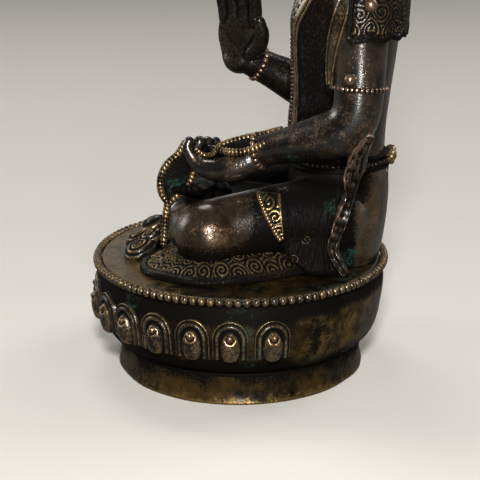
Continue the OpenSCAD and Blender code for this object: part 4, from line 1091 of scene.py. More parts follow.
u, v = np.meshgrid(np.linspace(0, 1, 110), np.linspace(0, 1, 120))
cloth_y = mix(mix(12.6, 11.4, v), 26.0, u)
cloth_z = mix(mix(33.0, 29.3, ease(0.0, 0.5, u)), 50.2 - 1.2 * (u - 0.5) ** 2, v)
curl_spots = np.array([[17.6, 38.6], [14.6, 33.4]])
curl_reach = np.min([np.hypot(cloth_y - y, cloth_z - z) for y, z in curl_spots], 0)
curl = ease(0.86, 0.98, scrolls(cloth_y, cloth_z, curl_spots, 0.9)) * ease(1.6, 1.1, curl_reach)
cloth_place = np.stack([0 * cloth_y, 1.7 * cloth_y, 0.6 * cloth_z], -1)
crumple = 0.55 * uneven(cloth_place, 2.3, 41) + 0.45 * uneven(cloth_place, 1.1, 42)
wave = np.cos(3.4 * (cloth_y - 0.012 * (cloth_z - 40) ** 2 + 0.35 * np.sin(cloth_z / 1.6)))
long_lines = ease(0.80, 0.98, wave) * ease(1.6, 2.4, curl_reach) * ease(0.42, 0.3, u)
pleats = 0.55 * np.exp(-((u - 0.80 + 0.06 * np.sin(5 * v)) / 0.05) ** 2)
pleats = pleats + 0.45 * np.exp(-((u - 0.93) / 0.035) ** 2)
fade = ease(0.0, 0.1, u) * ease(0.0, 0.06, v) * ease(1.0, 0.9, v)
cloth_lift = -0.5 + fade * (0.75 + 0.16 * crumple) + 0.25 * curl + 0.12 * long_lines + pleats
thigh_cloth = side_sheet(cloth_y, cloth_z, cloth_lift, deep=1.15 - curl - 0.45 * long_lines, brass=0.3,
                         worn=0.9 * curl + 0.3 * long_lines - 0.5, moss=0.2 * ease(0.8, 1.0, v))
print("thigh cloth", thigh_cloth["points"].min(0).round(1), thigh_cloth["points"].max(0).round(1))

# %% [markdown]
# ## Flap on the thigh cloth
# The flap is a pointed brassy leaf with a raised rim and four scrolls, and a tight row of beads follows its
# front edge. It could be a piece of its own, but the same side view lays it on the cloth without a gap.

# %% Flap
flap_u, flap_v = np.meshgrid(np.linspace(0, 1, 44), np.linspace(0, 1, 80))
flap_y = mix(mix(11.2, 5.0, flap_v**0.9), mix(12.0, 11.0, flap_v), flap_u)
flap_z = mix(38.6, 49.6, flap_v)
flap_cut = scrolls(flap_y, flap_z, np.array([[8.2, 48.0], [9.8, 44.6], [6.4, 50.0], [11.0, 41.0]]), 1.15)
flap_rim = np.maximum(ease(0.16, 0.10, flap_u), ease(0.86, 0.92, flap_u))
flap = side_sheet(flap_y, flap_z, 0.85 + np.where(flap_rim > 0.5, 0.35, 0.28 * flap_cut), brass=1.0,
                  deep=0.7 * ease(0.5, 0.1, flap_cut) * (flap_rim < 0.5), worn=0.30 + 0.3 * flap_rim,
                  moss=ease(0.75, 1.0, flap_v) * ease(0.5, 0.1, flap_u))
edge_y, edge_z = flap_y[:, 3], flap_z[:, 3]
flap_beads = string(np.stack([thigh_side(edge_y, edge_z) + 1.35, edge_y, edge_z], -1), 1.5, False, 0.8, 0.62)
skirt = [weather(thigh_cloth, 2, 1.4, 0.8), weather(flap, 1, 1.6, 1.0), weather(flap_beads, 1, 1.2, 1.0)]
skirt += [mirrored(shape) for shape in skirt]
cast("thigh_cloth_chased", together(*skirt), chased_bronze, "bronze_dress")

# %% [markdown]
# ## Chest garland and choker
# A long string of beads hangs from the neck towards the waist, and a short one with a pendant lies round
# the neck. A physics cord would find its own hang, but on a casting the beads lie on the body, so the path
# is taken from the torso: an angle from the front and a height give a point on its oval.

# %% Garland and choker


def torso_at(angle, z, out):
    """Points on the torso at an angle from the front, left being positive, and a height, raised by out."""
    wide, ahead, behind, middle = torso_sizes(z)
    c, s = np.sin(np.radians(angle)), -np.cos(np.radians(angle))
    reach = 1 / np.sqrt((c / wide) ** 2 + (s / np.where(s < 0, ahead, behind)) ** 2) + out
    return np.stack([reach * c, middle + reach * s, z], -1)


s = np.linspace(-1, 1, 121)
garland_line = torso_at(31 * s, mix(SEAM_Z + 10.0, NECK_Z - 1.8, np.abs(s) ** 1.6), 1.0)
garland = weather(stained(string(garland_line, 1.15), deep=0.45), 1, 4.0, 0.8)
cast("chest_bead_garland", garland, jewel_bronze, "bronze_jewels", "chest_garland")
pendant = balls([[0, NECK_Y - 8.6, NECK_Z + 1.2], [0, NECK_Y - 8.9, NECK_Z - 1.0]], [1.3, 0.9], worn=0.2)
choker = together(string(level_ring(7.15, NECK_Y, NECK_Z + 2.7), 1.85, True), pendant)
cast("bead_choker", weather(choker, 1, 1.4, 0.8), jewel_bronze, "bronze_jewels", "necklace")

# %% [markdown]
# ## Belt and bow
# A beaded belt covers the seam between the legs and the body, and it is knotted behind in a small
# brassy bow with two tails. The belt and its beads are black with patina and with painted shade under the
# forearms. The belt's section has two raised edges and is carried round the waist, and the loops and tails
# of the bow are bent tubes, which is all that shows at this size.

# %% Belt
BELT_Z = SEAM_Z + 2.05
KNOT_Y = AXIS_Y + 13.3
HALF_BELT = [[1.05, 0.4], [1.3, 0.78], [1.75, 0.78], [2.0, 0.45], [2.0, -0.75]]
belt_path = torso_at(np.linspace(-180, 180, 240, endpoint=False), np.full(240, BELT_Z), 0.75)
belt_out = unit((belt_path - [0, AXIS_Y, 0]) * [1, 1, 0])
belt_section = np.array([[-rise, out] for rise, out in HALF_BELT[::-1]] + HALF_BELT)
belt_rings = belt_path[:, None] + belt_out[:, None] * belt_section[:, 1:] + UP * belt_section[:, :1]
# Belt and beads are black with patina and with painted shade under the forearms.
belt = hoop(belt_rings[:, ::-1], brass=0.4, worn=-0.6, deep=0.9)
belt_beads = stained(string(belt_path + belt_out * 0.62, 1.35, True, 0.6, 1.0), worn=-0.75, deep=0.5)
bow = [balls([[0, KNOT_Y + 0.6, 55.3]], [1.3])]
tails = []
for d in (-1, 1):
    loop = [[0, KNOT_Y, 55.2], [2.6 * d, KNOT_Y + 0.9, 56.7], [4.8 * d, KNOT_Y, 56.2],
            [3.4 * d, KNOT_Y + 0.4, 54.7], [0.3 * d, KNOT_Y + 0.2, 54.8]]
    tail = [[0, KNOT_Y - 0.3, 54.6], [1.3 * d, KNOT_Y - 0.7, 51.5], [2.2 * d, KNOT_Y - 0.8, 47.5],
            [1.8 * d, KNOT_Y - 1.0, 43.5]]
    bow.append(limb(loop, [0.7, 0.9, 0.95, 0.85, 0.6], 30, 12))
    tails.append(limb(tail, [0.8, 1.0, 1.2, 0.7], 30, 12, 0.5))
bow = [coated(shape, worn=0.5, brass=0.7) for shape in bow]
belt_whole = weather(together(belt, belt_beads, *bow, *tails), 2, 1.2, 0.7)
cast("belt_with_bow", belt_whole, chased_bronze, "bronze_dress", "belt")

# %% [markdown]
# ## Arms
# Upper arm and forearm are two castings that meet under the armlet, and they read as one smooth arm. It
# could be bent with an armature. Here the path is a formula: the elbow plus the way to the shoulder times
# one soft ramp, plus the way to the wrist times another. A round section with its own radius at every step
# is carried along that path. Armlet and bracelet are strings of beads round it, the armlet with one jewel
# outside.

# %% Arms, armlets and bracelets
LEFT_ARM = np.array([[21.5, 30.45, 99.0], [25.0, 31.45, 65.5], [15.0, 3.95, 58.8]])
RIGHT_ARM = np.array([[-21.5, 30.45, 99.0], [-25.0, 27.45, 62.4], [-17.0, 2.45, 76.6]])
ARM_KNOTS = [0, 0.25, 0.55, 0.85, 1.0, 1.2, 1.5, 1.8, 2.05]
ARM_RADII = [6.6, 6.95, 6.4, 6.1, 6.1, 6.2, 5.3, 4.1, 3.7]
ARM_END = 2.04
ARM_BEND = 0.22
ARMLET_T, BRACELET_T = 0.68, 1.93
ARMLET_R, BRACELET_R = 6.65, 4.15


def arm_at(arm, t):
    """Points along an arm: shoulder at 0, elbow at 1, wrist at 2, softly bent over a fifth of a limb."""
    t = np.atleast_1d(np.asarray(t, float))[:, None]
    above, below = ((u + np.sqrt(u * u + ARM_BEND**2)) / 2 for u in (1 - t, t - 1))
    return arm[1] + (arm[0] - arm[1]) * above + (arm[2] - arm[1]) * below


def arm_frame(arm, t):
    """Point, direction along the arm, and two directions across it, at one place."""
    before, here, after = arm_at(arm, [t - 0.01, t, t + 0.01])
    along = unit(after - before)
    side = unit(np.cross(arm[0] - arm[1], arm[2] - arm[1]))
    side = unit(side - along * side.dot(along))
    return here, along, side, np.cross(along, side)


def arm_ring(arm, t, radius):
    """A circle round the arm."""
    here, _, side, over = arm_frame(arm, t)
    ring = circle(72, radius)
    return here + ring[:, :1] * side + ring[:, 1:] * over


# The right forearm is a little thicker, and the whole right arm lies in the dark.
for label, arm, thicker, soot in (("left", LEFT_ARM, 0.0, 0.0), ("right", RIGHT_ARM, 0.12, 0.55)):
    at = np.linspace(0, ARM_END, 190)
    radius = smooth_rows(ARM_KNOTS, ARM_RADII, at)[:, 0] * (1 + thicker * ease(1.0, 1.3, at))
    skin = weather(limb(arm_at(arm, at)[::6], radius[::6], 190, 56), 8, 0.45, 0.2)
    x, y, z = skin["points"].T
    rub = 0.18 * ease(16, 27, np.abs(x)) + 0.26 * ease(60, 65, z) * ease(76, 69, z)
    rub = rub + 0.24 * ease(27, 31, np.abs(x)) * ease(70, 75, z)
    # Painted shade on the forearm's underside, plus the right arm's black patina.
    dark = 0.7 * ease(63.5, 58.5, z) * ease(6, 12, y) + soot
    skin = coated(skin, worn=np.clip(skin["fields"]["worn"] * 0.5 + rub, 0, 1),
                  deep=np.clip(skin["fields"]["deep"] + dark, 0, 1))
    cast(label + "_arm_bronze", skin, body_bronze, "bronze_body", label + "_upper_arm", label + "_forearm")
    here, along = arm_frame(arm, ARMLET_T)[:2]
    outside = np.array([np.sign(here[0]) * 0.93, -0.36, 0])
    outside = unit(outside - along * outside.dot(along))
    jewel = balls([here + outside * 6.9 - along * 2.5], [1.45], rows=13, cols=24, worn=0.6)
    armlet = together(string(arm_ring(arm, ARMLET_T, ARMLET_R), 1.5, True, 0.85, 0.8), jewel)
    armlet = weather(armlet, 1, 2.0, 0.8)
    cast(label + "_armlet_beads", armlet, jewel_bronze, "bronze_jewels", label + "_armlet")
    bracelet = weather(string(arm_ring(arm, BRACELET_T, BRACELET_R), 1.6, True, 0.7, 0.9), 1, 2.2, 0.8)
    cast(label + "_bracelet_beads", bracelet, jewel_bronze, "bronze_jewels", label + "_bracelet")

# %% [markdown]
# ## Left hand
# The left hand lies palm upwards in the lap with its fingers curled back. Sculpting is the usual way. Here
# the palm, the heel, four fingers and the thumb are limbs whose points were given along the bones,
# and the melt joins them in one skin, so a finger is moved by moving its points.

# %% Left hand
HAND_VOXEL, HAND_RELAX = 0.26, 3


def cast_hand(label, shape, soot):
    """Weathers a hand, rubs its outer side bright, and casts it; soot darkens all of it."""
    shape = weather(shape, 4, 2.2, 0.4)
    x, _, z = shape["points"].T
    shape = stained(shape, worn=0.5 * ease(12, 16, x) * ease(54.5, 57, z) * ease(62, 60, z), deep=soot)
    cast(label + "_hand_bronze", shape, body_bronze, "bronze_body", label + "_hand")


left_palm = [[15.2, 5.6, 58.6], [14.2, 1.0, 56.6], [12.0, -3.0, 55.2], [10.6, -5.4, 54.6]]
left_heel = [[13.4, 0.0, 56.0], [9.6, -0.8, 56.0], [7.6, -2.6, 55.6]]
first_finger = [[15.8, 2.8, 57.0], [15.8, -1.0, 55.2], [15.0, -5.4, 54.3], [14.0, -9.4, 55.0],
                [13.2, -11.9, 57.4], [12.9, -12.9, 60.0], [12.6, -12.5, 61.2]]
middle_finger = [[11.4, -6.0, 54.6], [11.0, -9.4, 55.4], [10.8, -11.4, 57.8], [10.8, -10.0, 60.7]]
ring_finger = [[9.2, -5.0, 54.8], [8.8, -7.9, 55.6], [8.6, -9.6, 58.0], [8.8, -8.1, 60.3]]
little_finger = [[7.2, -3.8, 55.2], [6.8, -6.2, 56.0], [6.7, -7.8, 58.0], [6.9, -6.2, 59.9]]
left_thumb = [[15.0, 2.6, 59.0], [13.6, -1.4, 59.0], [12.2, -4.4, 58.6], [11.0, -6.6, 58.9]]
left_limbs = [limb(left_palm, [3.7, 3.6, 3.4, 2.6], 30, 28), limb(left_heel, [3.0, 2.6, 2.2], 24, 20),
              limb(first_finger, [3.5, 3.5, 3.2, 2.7, 2.15, 1.75, 1.3], 60, 24),
              limb(middle_finger, [1.9, 1.8, 1.75, 1.6], 40, 18),
              limb(ring_finger, [1.8, 1.75, 1.7, 1.5], 40, 18),
              limb(little_finger, [1.7, 1.65, 1.6, 1.4], 40, 18),
              limb(left_thumb, [1.9, 1.7, 1.5, 1.1], 34, 18)]
cast_hand("left", fuse(left_limbs, HAND_VOXEL, HAND_RELAX), 0.0)

# %% [markdown]
# ## Right hand
# The right hand is raised with an open palm. It could be sculpted in place, but a flat start makes the
# fingers easy to space: a paddle for the palm and bent tubes for the fingers are built in a frame of their
# own, melted, and then placed on the wrist.

# %% Right hand
FINGER_R = 1.36
FINGER_Y = (3.75, 1.3, -1.2, -3.6)
FINGER_L = (10.2, 11.0, 10.4, 8.6)
FINGER_SPREAD = (0.06, 0.02, -0.02, -0.06)
FINGER_BENDS = (8, 9, 12)
BONE_SHARES = np.array([0.42, 0.32, 0.26])
PALM = [[-3.0, 1.2, 1.2, 0], [-2.2, 2.4, 2.3, 0], [-0.6, 3.4, 3.1, 0], [2.0, 4.4, 2.6, -0.1],
        [5.5, 5.4, 2.2, -0.2], [9.0, 5.1, 1.9, -0.1], [10.6, 4.6, 1.5, 0]]
THUMB = [[1.5, 2.6, 0.2], [4.8, 5.4, 1.2], [8.2, 6.6, 2.2], [11.2, 6.4, 3.0]]
HAND_SCALE = [1.1, 1.3, 1.25]
WRIST_SHIFT = [0, -3.4, 0]
HAND_UP, PALM_WAY = [0.05, 0.02, 1], [0.85, -0.5, 0]


def paddle(rows, count=30, sides=36):
    """A closed loft along x in its own frame; each row gives x, half width, half thickness, and lift."""
    rows = np.asarray(rows, float)
    x = np.linspace(rows[0, 0], rows[-1, 0], count)
    wide, thick, lift = smooth_rows(rows[:, 0], rows[:, 1:], x).T[..., None]
    t = full_turn(sides)
    return tube(np.stack(np.broadcast_arrays(x[:, None], wide * np.cos(t), lift + thick * np.sin(t)), -1))


def placed(shape, start, along, up):
    """The same form with its own x along one vector and its z towards another, moved to a point."""
    x = unit(along)
    z = unit(np.asarray(up, float) - x * np.dot(up, x))
    shape["points"] = np.asarray(start, float) + shape["points"] @ np.stack([x, np.cross(z, x), z])
    return shape


def digit(base, length, bends, spread, radius):
    """A finger or toe: three bones that turn upwards by the given angles, one after the other."""
    turns = np.radians(np.cumsum(bends))
    ways = [np.cos(turns) * np.cos(spread), np.cos(turns) * np.sin(spread), np.sin(turns)]
    steps = length * BONE_SHARES[:, None] * np.stack(ways, -1)
    joints = np.concatenate([[base], base + np.cumsum(steps, 0)])
    return limb(joints, radius * np.array([1.02, 1.0, 0.94, 0.78]), 26, 16)


fingers = [digit([9.6, y, 0.1], length, FINGER_BENDS, spread, FINGER_R)
           for y, length, spread in zip(FINGER_Y, FINGER_L, FINGER_SPREAD)]
thumb = limb(THUMB, [1.9, 1.75, 1.55, 1.2], 30, 18)
open_hand = mirrored(fuse([paddle(PALM), thumb, *fingers], HAND_VOXEL, HAND_RELAX), (1, -1, 1))
open_hand["points"] *= HAND_SCALE
wrist = arm_at(RIGHT_ARM, 2.0)[0] + WRIST_SHIFT
cast_hand("right", placed(open_hand, wrist, HAND_UP, PALM_WAY), 0.5)

# %% [markdown]
# ## Feet
# The feet lie sole upwards in the lap, so that only soles and toes show. They need no ankles of their own,
# and the paddle and the bent tubes of the open hand make them too.

# %% Feet
SOLE = [[-1.2, 2.2, 2.2, 0], [1.5, 2.9, 2.6, 0.1], [7.0, 2.9, 2.3, -0.2], [13.0, 3.9, 2.0, 0],
        [16.5, 3.9, 1.6, 0.1], [17.8, 3.3, 1.2, 0.1]]
TOE_Y = (2.9, 1.25, -0.25, -1.65, -2.95)
TOE_L = (4.4, 4.2, 4.0, 3.7, 3.2)
TOE_R = (1.5, 1.25, 1.2, 1.15, 1.1)
TOE_BENDS = (6, 10, 14)


def foot():
    """A foot with its sole upwards: a paddle for the sole and five short toes, the big one on the y side."""
    toes = [digit([16.6, y, 0.2], length, TOE_BENDS, 0.03 * y, radius)
            for y, length, radius in zip(TOE_Y, TOE_L, TOE_R)]
    return fuse([paddle(SOLE), *toes], 0.27, 3)


right_foot = placed(foot(), [-4.5, -6.6, 47.4], [20, -7.2, 0.6], [0.1, -0.15, 1])
left_foot = mirrored(placed(foot(), [-4.5, -4.6, 45.6], [20, -6.0, 1.2], [0.1, -0.1, 1]))
feet = stained(weather(together(right_foot, left_foot), 4, 2.2, 0.4), deep=0.8)
cast("crossed_feet", feet, body_bronze, "bronze_body")

# %% [markdown]
# ## Garland over the left hand
# A strand with leaf-shaped ends lies on the wrist, passes over the fingers, hangs as a loop and falls in
# front of the shins. A chain of loose links could be simulated, but on the casting it is solid. Each leaf
# is an arched sheet between two edges, and beads that overlap run along the edges like rope.

# %% Hand garland
LEAF_COLS = 15
LEAF_THICK = 0.7


def beaded_leaf(upper, lower, count, bulge, **fields):
    """A sheet between two edges, arched by bulge across, with a string of beads along each edge."""
    upper, lower = route(upper, count), route(lower, count)
    across = np.linspace(0, 1, LEAF_COLS)[None, :, None]
    sheet = mix(upper[:, None], lower[:, None], across)
    out = grid_normals(sheet)
    out = out * np.sign(out[count // 2, LEAF_COLS // 2, 0])
    sheet = sheet + out * bulge * np.sin(np.pi * across)
    plate = coated(slab(sheet + out * LEAF_THICK / 2, sheet - out * LEAF_THICK / 2), **fields)
    return [plate] + [string(edge, 2.1, False, 0.9, 0.5) for edge in (upper, lower)]


wrist_leaf = beaded_leaf(
    [[16.2, 11.2, 65.2], [15.4, 8.8, 64.4], [14.8, 5.0, 63.3], [14.7, 1.0, 62.4], [15.0, -2.4, 61.4],
     [15.6, -5.0, 60.3]],
    [[16.5, 11.0, 64.8], [18.5, 8.2, 62.9], [19.3, 4.6, 61.0], [19.1, 1.2, 60.0], [17.9, -2.2, 59.7],
     [16.0, -4.9, 60.0]],
    60, 0.5, deep=0.9)
hand_loop = beaded_leaf(
    [[12.6, -13.4, 61.0], [12.6, -15.6, 57.6], [12.6, -17.8, 55.6], [12.6, -19.4, 53.0], [12.5, -20.0, 49.8],
     [12.2, -19.4, 46.9], [11.9, -18.2, 45.0]],
    [[12.4, -12.6, 60.6], [11.8, -11.6, 56.6], [11.4, -11.6, 53.0], [11.4, -12.6, 50.2], [11.6, -14.6, 47.8],
     [11.8, -16.6, 46.0], [11.8, -17.8, 44.8]],
    70, 0.4, deep=0.8, moss=0.35)
over_fingers = route([[15.6, -4.9, 60.2], [14.0, -6.6, 58.2], [12.4, -8.6, 57.6], [12.0, -11.2, 59.4],
                      [12.4, -13.0, 61.2]], 40)
down_shin = route([[11.8, -18.1, 45.0], [11.6, -18.8, 41.0], [11.4, -19.2, 37.0], [11.3, -19.5, 33.4]], 60)
strands = [string(over_fingers, 1.4, False, 0.8, 0.62), string(down_shin, 2.2, False, 0.9, 0.5)]
strand_forms = [coated(shape, brass=0.45) for shape in (*wrist_leaf, *hand_loop, *strands)]
hand_garland = weather(together(*strand_forms), 1, 1.5, 1.0)
cast("hand_garland_beaded", hand_garland, chased_bronze, "bronze_jewels", "hand_garland")

# %% [markdown]
# ## Scarf ends
# Behind each elbow a scarf falls to the deck in a wavy, crumpled ribbon, with rubbed copper and a painted
# highlight along one edge. Cloth physics would let it hang limp. A strip with rolled edges carried along
# chosen points, with a width that changes, keeps the stiff flutter of the cast one.

# %% Scarves
SCARF_KNOTS = [[31.2, 33.0, 67.0], [30.6, 31.3, 63.8], [28.0, 29.6, 58.8], [26.2, 28.4, 54.6],
               [25.0, 27.9, 50.6], [24.6, 26.7, 46.6], [24.6, 25.2, 40.8], [24.6, 24.4, 36.4],
               [25.2, 25.9, 33.3], [26.2, 27.6, 30.4]]
SCARF_STEPS = 150
STRIP = np.linspace(-1, 1, 17)


def ribbon(path, hint, width, thick, rolled=0.0):
    """Rings of a flat rounded strip along a path; rolled thickens its two edges."""
    edge = np.abs(STRIP)
    half = thick / 2 * (1 - 0.35 * (1 - edge) + rolled * np.exp(-((edge - 0.86) / 0.13) ** 2))
    half = half * np.sqrt(np.clip(1 - edge**14, 0.02, 1))
    outline = np.concatenate([np.stack([STRIP, half], -1), np.stack([STRIP, -half], -1)[::-1]])[::-1]
    scales = np.stack([np.asarray(width) / 2, np.ones(len(path))], -1)
    return sweep(path, outline * scales[:, None], hint)


w = np.linspace(0, 1, SCARF_STEPS)
scarf_hint = np.stack([0.45 * np.sin(9 * w), np.ones(SCARF_STEPS), np.full(SCARF_STEPS, 0.2)], -1)
scarf_width = np.interp(w, [0, 0.08, 0.22, 0.36, 0.44, 0.56, 0.72, 0.84, 1],
                        [1.8, 3.2, 5.0, 4.0, 2.2, 3.1, 3.0, 2.2, 1.8])
# Rubbed copper with a painted highlight, strongest along the left edge and changing along the length.
bright = np.interp(w, [0, 0.05, 0.34, 0.42, 0.50, 0.56, 0.74, 0.82, 1],
                   [0.95, 0.95, 0.85, 0.1, 0.2, 0.9, 0.75, 0.1, 0.3])[:, None]
bright = bright * (0.18 + 0.82 * np.exp(-((np.concatenate([STRIP, STRIP[::-1]]) + 0.72) / 0.30) ** 2))
scarf_rings = ribbon(route(SCARF_KNOTS, SCARF_STEPS), scarf_hint, scarf_width, 2.3, 0.45)
crumple = 0.34 * uneven(scarf_rings, 5, 31) + 0.30 * uneven(scarf_rings, 2.4, 32)
scarf_rings = scarf_rings + crumple[..., None] * [1.0, 0.5, 0.2]
scarf = weather(tube(scarf_rings, worn=bright, deep=0.45 - 0.7 * bright), 2, 1.4, 0.6)
cast("left_scarf_end", scarf, jewel_bronze, "bronze_dress", "left_scarf")
cast("right_scarf_end", mirrored(scarf), jewel_bronze, "bronze_dress", "right_scarf")

# %% [markdown]
# ## Shoulder cape
# A cape covers the shoulders, with clouds cut all over, a scalloped hem, a stud on each side and a brassy
# lappet that hangs in front of each arm. Cloth physics would drape it, but the outline is simple: at each
# height it is a rounded rectangle, the power mean of width and depth, which wraps torso and upper arms in
# one curve. The sheet is a slab between that grid and the same grid a little further in.

# %% Cape
SHOULDER_X, SHOULDER_R, ROUND_Z = 21.5, 6.9, 99.3
CAPE_TOP = ROUND_Z + SHOULDER_R
CAPE_HEM = 90.2
SCALLOPS = 17
CAPE_COLS, CAPE_ROWS = 400, 90
CAPE_POWER = 3.0


def cape_half_width(z):
    """Half width at a height: the arm's girth below, its round above the joint, then in to the neck."""
    bulge = np.sqrt(np.clip(SHOULDER_R**2 - np.clip(z - ROUND_Z, 0, SHOULDER_R) ** 2, 0, None))
    over_arm = SHOULDER_X + bulge + 0.5 + np.clip(ROUND_Z - z, 0, None) * 0.10
    to_neck = mix(SHOULDER_X, 5.8, np.clip((z - CAPE_TOP) / (NECK_Z - CAPE_TOP), 0, 1))
    return np.where(z < CAPE_TOP, over_arm, to_neck)


def cape_point(angle, z, out):
    """Points of the cape at an angle from +X and a height, raised by out."""
    _, ahead, behind, middle = torso_sizes(z)
    c, s = np.cos(angle), np.sin(angle)
    across, along = c / (cape_half_width(z) + out), s / (np.where(s < 0, ahead, behind) + out)
    reach = (np.abs(across) ** CAPE_POWER + np.abs(along) ** CAPE_POWER) ** (-1 / CAPE_POWER)
    return np.stack([reach * c, middle + reach * s, z + out * ease(94, 100, z)], -1)


def grid_run(grid, axis):
    """Distance travelled along one axis of a grid of points, from 0."""
    steps = np.cumsum(np.linalg.norm(np.diff(grid, axis=axis), axis=-1), axis)
    return np.concatenate([np.zeros_like(np.take(steps, [0], axis)), steps], axis)


share = np.linspace(0, 1, CAPE_COLS)[None, :]
rise = np.linspace(0, 1, CAPE_ROWS)[:, None]
hem_z = CAPE_HEM - 1.2 * np.abs(np.sin(np.pi * SCALLOPS * share))
cape_z = hem_z + (NECK_Z + 0.2 - hem_z) * (1 - (1 - rise) ** 1.25)
cape_open = mix(89.0, 46.0, ease(ROUND_Z + 3.5, NECK_Z, cape_z))
cape_angle = np.radians(mix(cape_open - 90, 270 - cape_open, share))
cape_mid = cape_point(cape_angle, cape_z, 1.35)
cape_run, cape_reach = grid_run(cape_mid, 1), grid_run(cape_mid, 0)
middle_run = cape_run[CAPE_ROWS // 2]
cape_cut = scrolls(middle_run + 0 * cape_reach, cape_reach, scatter(middle_run[-1], 19, 4.4, 8), 1.0)
side_edge = np.minimum(cape_run, cape_run[:, -1:] - cape_run)
rim = np.maximum(ease(1.5, 1.2, cape_reach), ease(1.5, 1.2, side_edge))
rim_cut = np.exp(-((np.minimum(cape_reach, side_edge) - 1.75) / 0.25) ** 2)
cape_top = raised(cape_mid, np.where(rim > 0.5, 0.35, 0.20 * cape_cut) - 0.30 * rim_cut)
# Soot in the cut lines and a darkened rim; the lining below is painted with shade.
cape_cut_soot_and_dark_rim = np.where(rim < 0.5, 0.95 * (1 - cape_cut), 0.8)
cape_lining = cape_point(cape_angle, cape_z, 0.3)
cape_sheet = slab(cape_top, cape_lining, {"deep": 0.9}, deep=cape_cut_soot_and_dark_rim, brass=0.9, worn=0.3 - 0.6 * rim)
lappet_path = route([[8.5, 22.6, 109.2], [15, 24.6, 107.4], [21.5, 27.2, 105.4], [26.4, 27.6, 101.5],
                     [27.6, 26.0, 97.0], [26.4, 24.4, 91.5], [25.0, 23.5, 86.5], [24.0, 23.1, 82.0],
                     [23.6, 23.1, 78.0]], 150)
lappet_width = np.interp(np.linspace(0, 1, 150), [0, 0.3, 0.5, 0.7, 0.88, 1], [2.4, 3.4, 4.2, 3.6, 2.4, 1.4])
lappet = tube(ribbon(lappet_path, [0.55, 1.0, 0.35], lappet_width, 1.3, 0.8), brass=0.95, worn=0.42)
lappet = weather(lappet, 2, 1.2, 0.6)
cape = together(weather(cape_sheet, 2, 1.6, 1.0), lappet, mirrored(lappet))
cast("shoulder_cape_chased", cape, chased_bronze, "bronze_dress", "shoulder_cape")
studs = balls([[30.0, 32.4, 98.2], [-30.0, 32.4, 98.2]], 1.75, rows=13, cols=24, worn=0.6)
cast("cape_studs", weather(studs, 1, 1.4, 0.8), jewel_bronze, "bronze_jewels")

# %% [markdown]
# ## Face and hair
# The face is the builder's own, calm and regular: the foot of the nose lies midway between brow and chin,
# and the crown covers the top of the forehead. A head is usually sculpted. At this size a loft of ovals is
# enough, where every feature is a small bell-shaped swelling or hollow added along the normal, and combed
# hair is a ripple behind the hairline.

# %% Head
HEAD_H = 39.0
HEAD_Y = 27.55
EYE_X, EYE_Z = 4.3, 128.8
SKULL_ROWS = [(0, 5.8, 5.8, 5.8, NECK_Y), (0.12, 5.5, 5.6, 5.8, 28.3), (0.18, 7.4, 9.0, 8.4, 27.9),
              (0.24, 9.0, 11.2, 10.5, HEAD_Y), (0.36, 10.3, 12.4, 12.2, HEAD_Y),
              (0.5, 11.1, 12.7, 12.5, HEAD_Y), (0.65, 11.2, 12.4, 12.5, HEAD_Y),
              (0.8, 10.6, 11.4, 11.5, HEAD_Y), (0.91, 8.7, 9.0, 9.0, HEAD_Y), (1.0, 5.4, 5.4, 5.4, HEAD_Y)]
skull = ovals([[NECK_Z + HEAD_H * k, *sizes] for k, *sizes in SKULL_ROWS], 190, 300)
x, y, z = np.moveaxis(skull, -1, 0)
side_x = np.abs(x)
side_angle = np.degrees(np.arctan2(side_x, HEAD_Y - y))


def bell(aside, height, wide, tall):
    """Bell-shaped bump on both sides of the face: exp of minus the squared distance from its middle."""
    return np.exp(-((side_x - aside) / wide) ** 2 - ((z - height) / tall) ** 2)


def ridge(height, thick):
    """Narrow ridge along a line of heights: exp of minus the squared distance from it."""
    return np.exp(-((z - height) / thick) ** 2)


bridge = np.exp(-(x / 0.95) ** 2) * ease(124, 125.5, z) * ease(131.5, 127, z)
nose = 2.5 * bell(0, 124.9, 1.25, 1.3) + 1.5 * bridge + 0.7 * bell(1.45, 124.5, 0.7, 0.8)
lid = ridge(128.4 - 0.05 * (side_x - EYE_X) ** 2, 0.22) * (np.abs(side_x - EYE_X) < 2.6)
eyes = -1.0 * bell(EYE_X, EYE_Z, 2.9, 1.9) + 1.15 * bell(EYE_X, EYE_Z + 0.1, 2.3, 1.25) - 0.45 * lid
brow = 0.55 * ridge(131.0 - 0.035 * (side_x - 4.0) ** 2, 0.5)
brow = brow * ease(0.9, 2.0, side_x) * ease(8.2, 6.5, side_x)
lips = ridge(121.8 + 0.03 * x**2, 0.2) * ease(3.1, 2.2, side_x)
mouth = 0.75 * bell(0, 122.5, 2.5, 0.6) + 0.8 * bell(0, 121.0, 1.9, 0.65) - 0.6 * lips
cheeks = 0.6 * bell(5.6, 124.4, 2.9, 2.6) + 0.9 * bell(0, 118.6, 2.6, 1.5) + 0.35 * bell(0, 132.6, 0.6, 0.6)
hairline = mix(mix(135.4, 127, ease(48, 78, side_angle)), 115.5, ease(84, 112, side_angle))
hair = ease(-0.2, 0.5, z - hairline)
comb = 0.5 + 0.5 * np.cos(np.radians(side_angle) * 34 + 0.12 * z)
face = ease(-2, -7, y - HEAD_Y) * (1 - hair) * (nose + eyes + brow + mouth + cheeks)
head_skin = tube(raised(skull, face + hair * (0.55 + 0.28 * comb), False, True), deep=0.5 * hair * (1 - comb),
                 worn=0.12 * (1 - hair))
bun_rows = [(146.5, 6.6), (149.5, 4.9), (152.4, 5.3), (155.6, 5.0), (158.4, 3.5), (160.0, 1.8)]
bun = ovals([[height, size, size, size, HEAD_Y] for height, size in bun_rows], 90, 120)
coil = np.arctan2(bun[..., 1] - HEAD_Y, bun[..., 0]) / (2 * np.pi)
bun = raised(bun, 0.32 * np.cos(2 * np.pi * (bun[..., 2] / 2.1 + 2 * coil)), False, True)
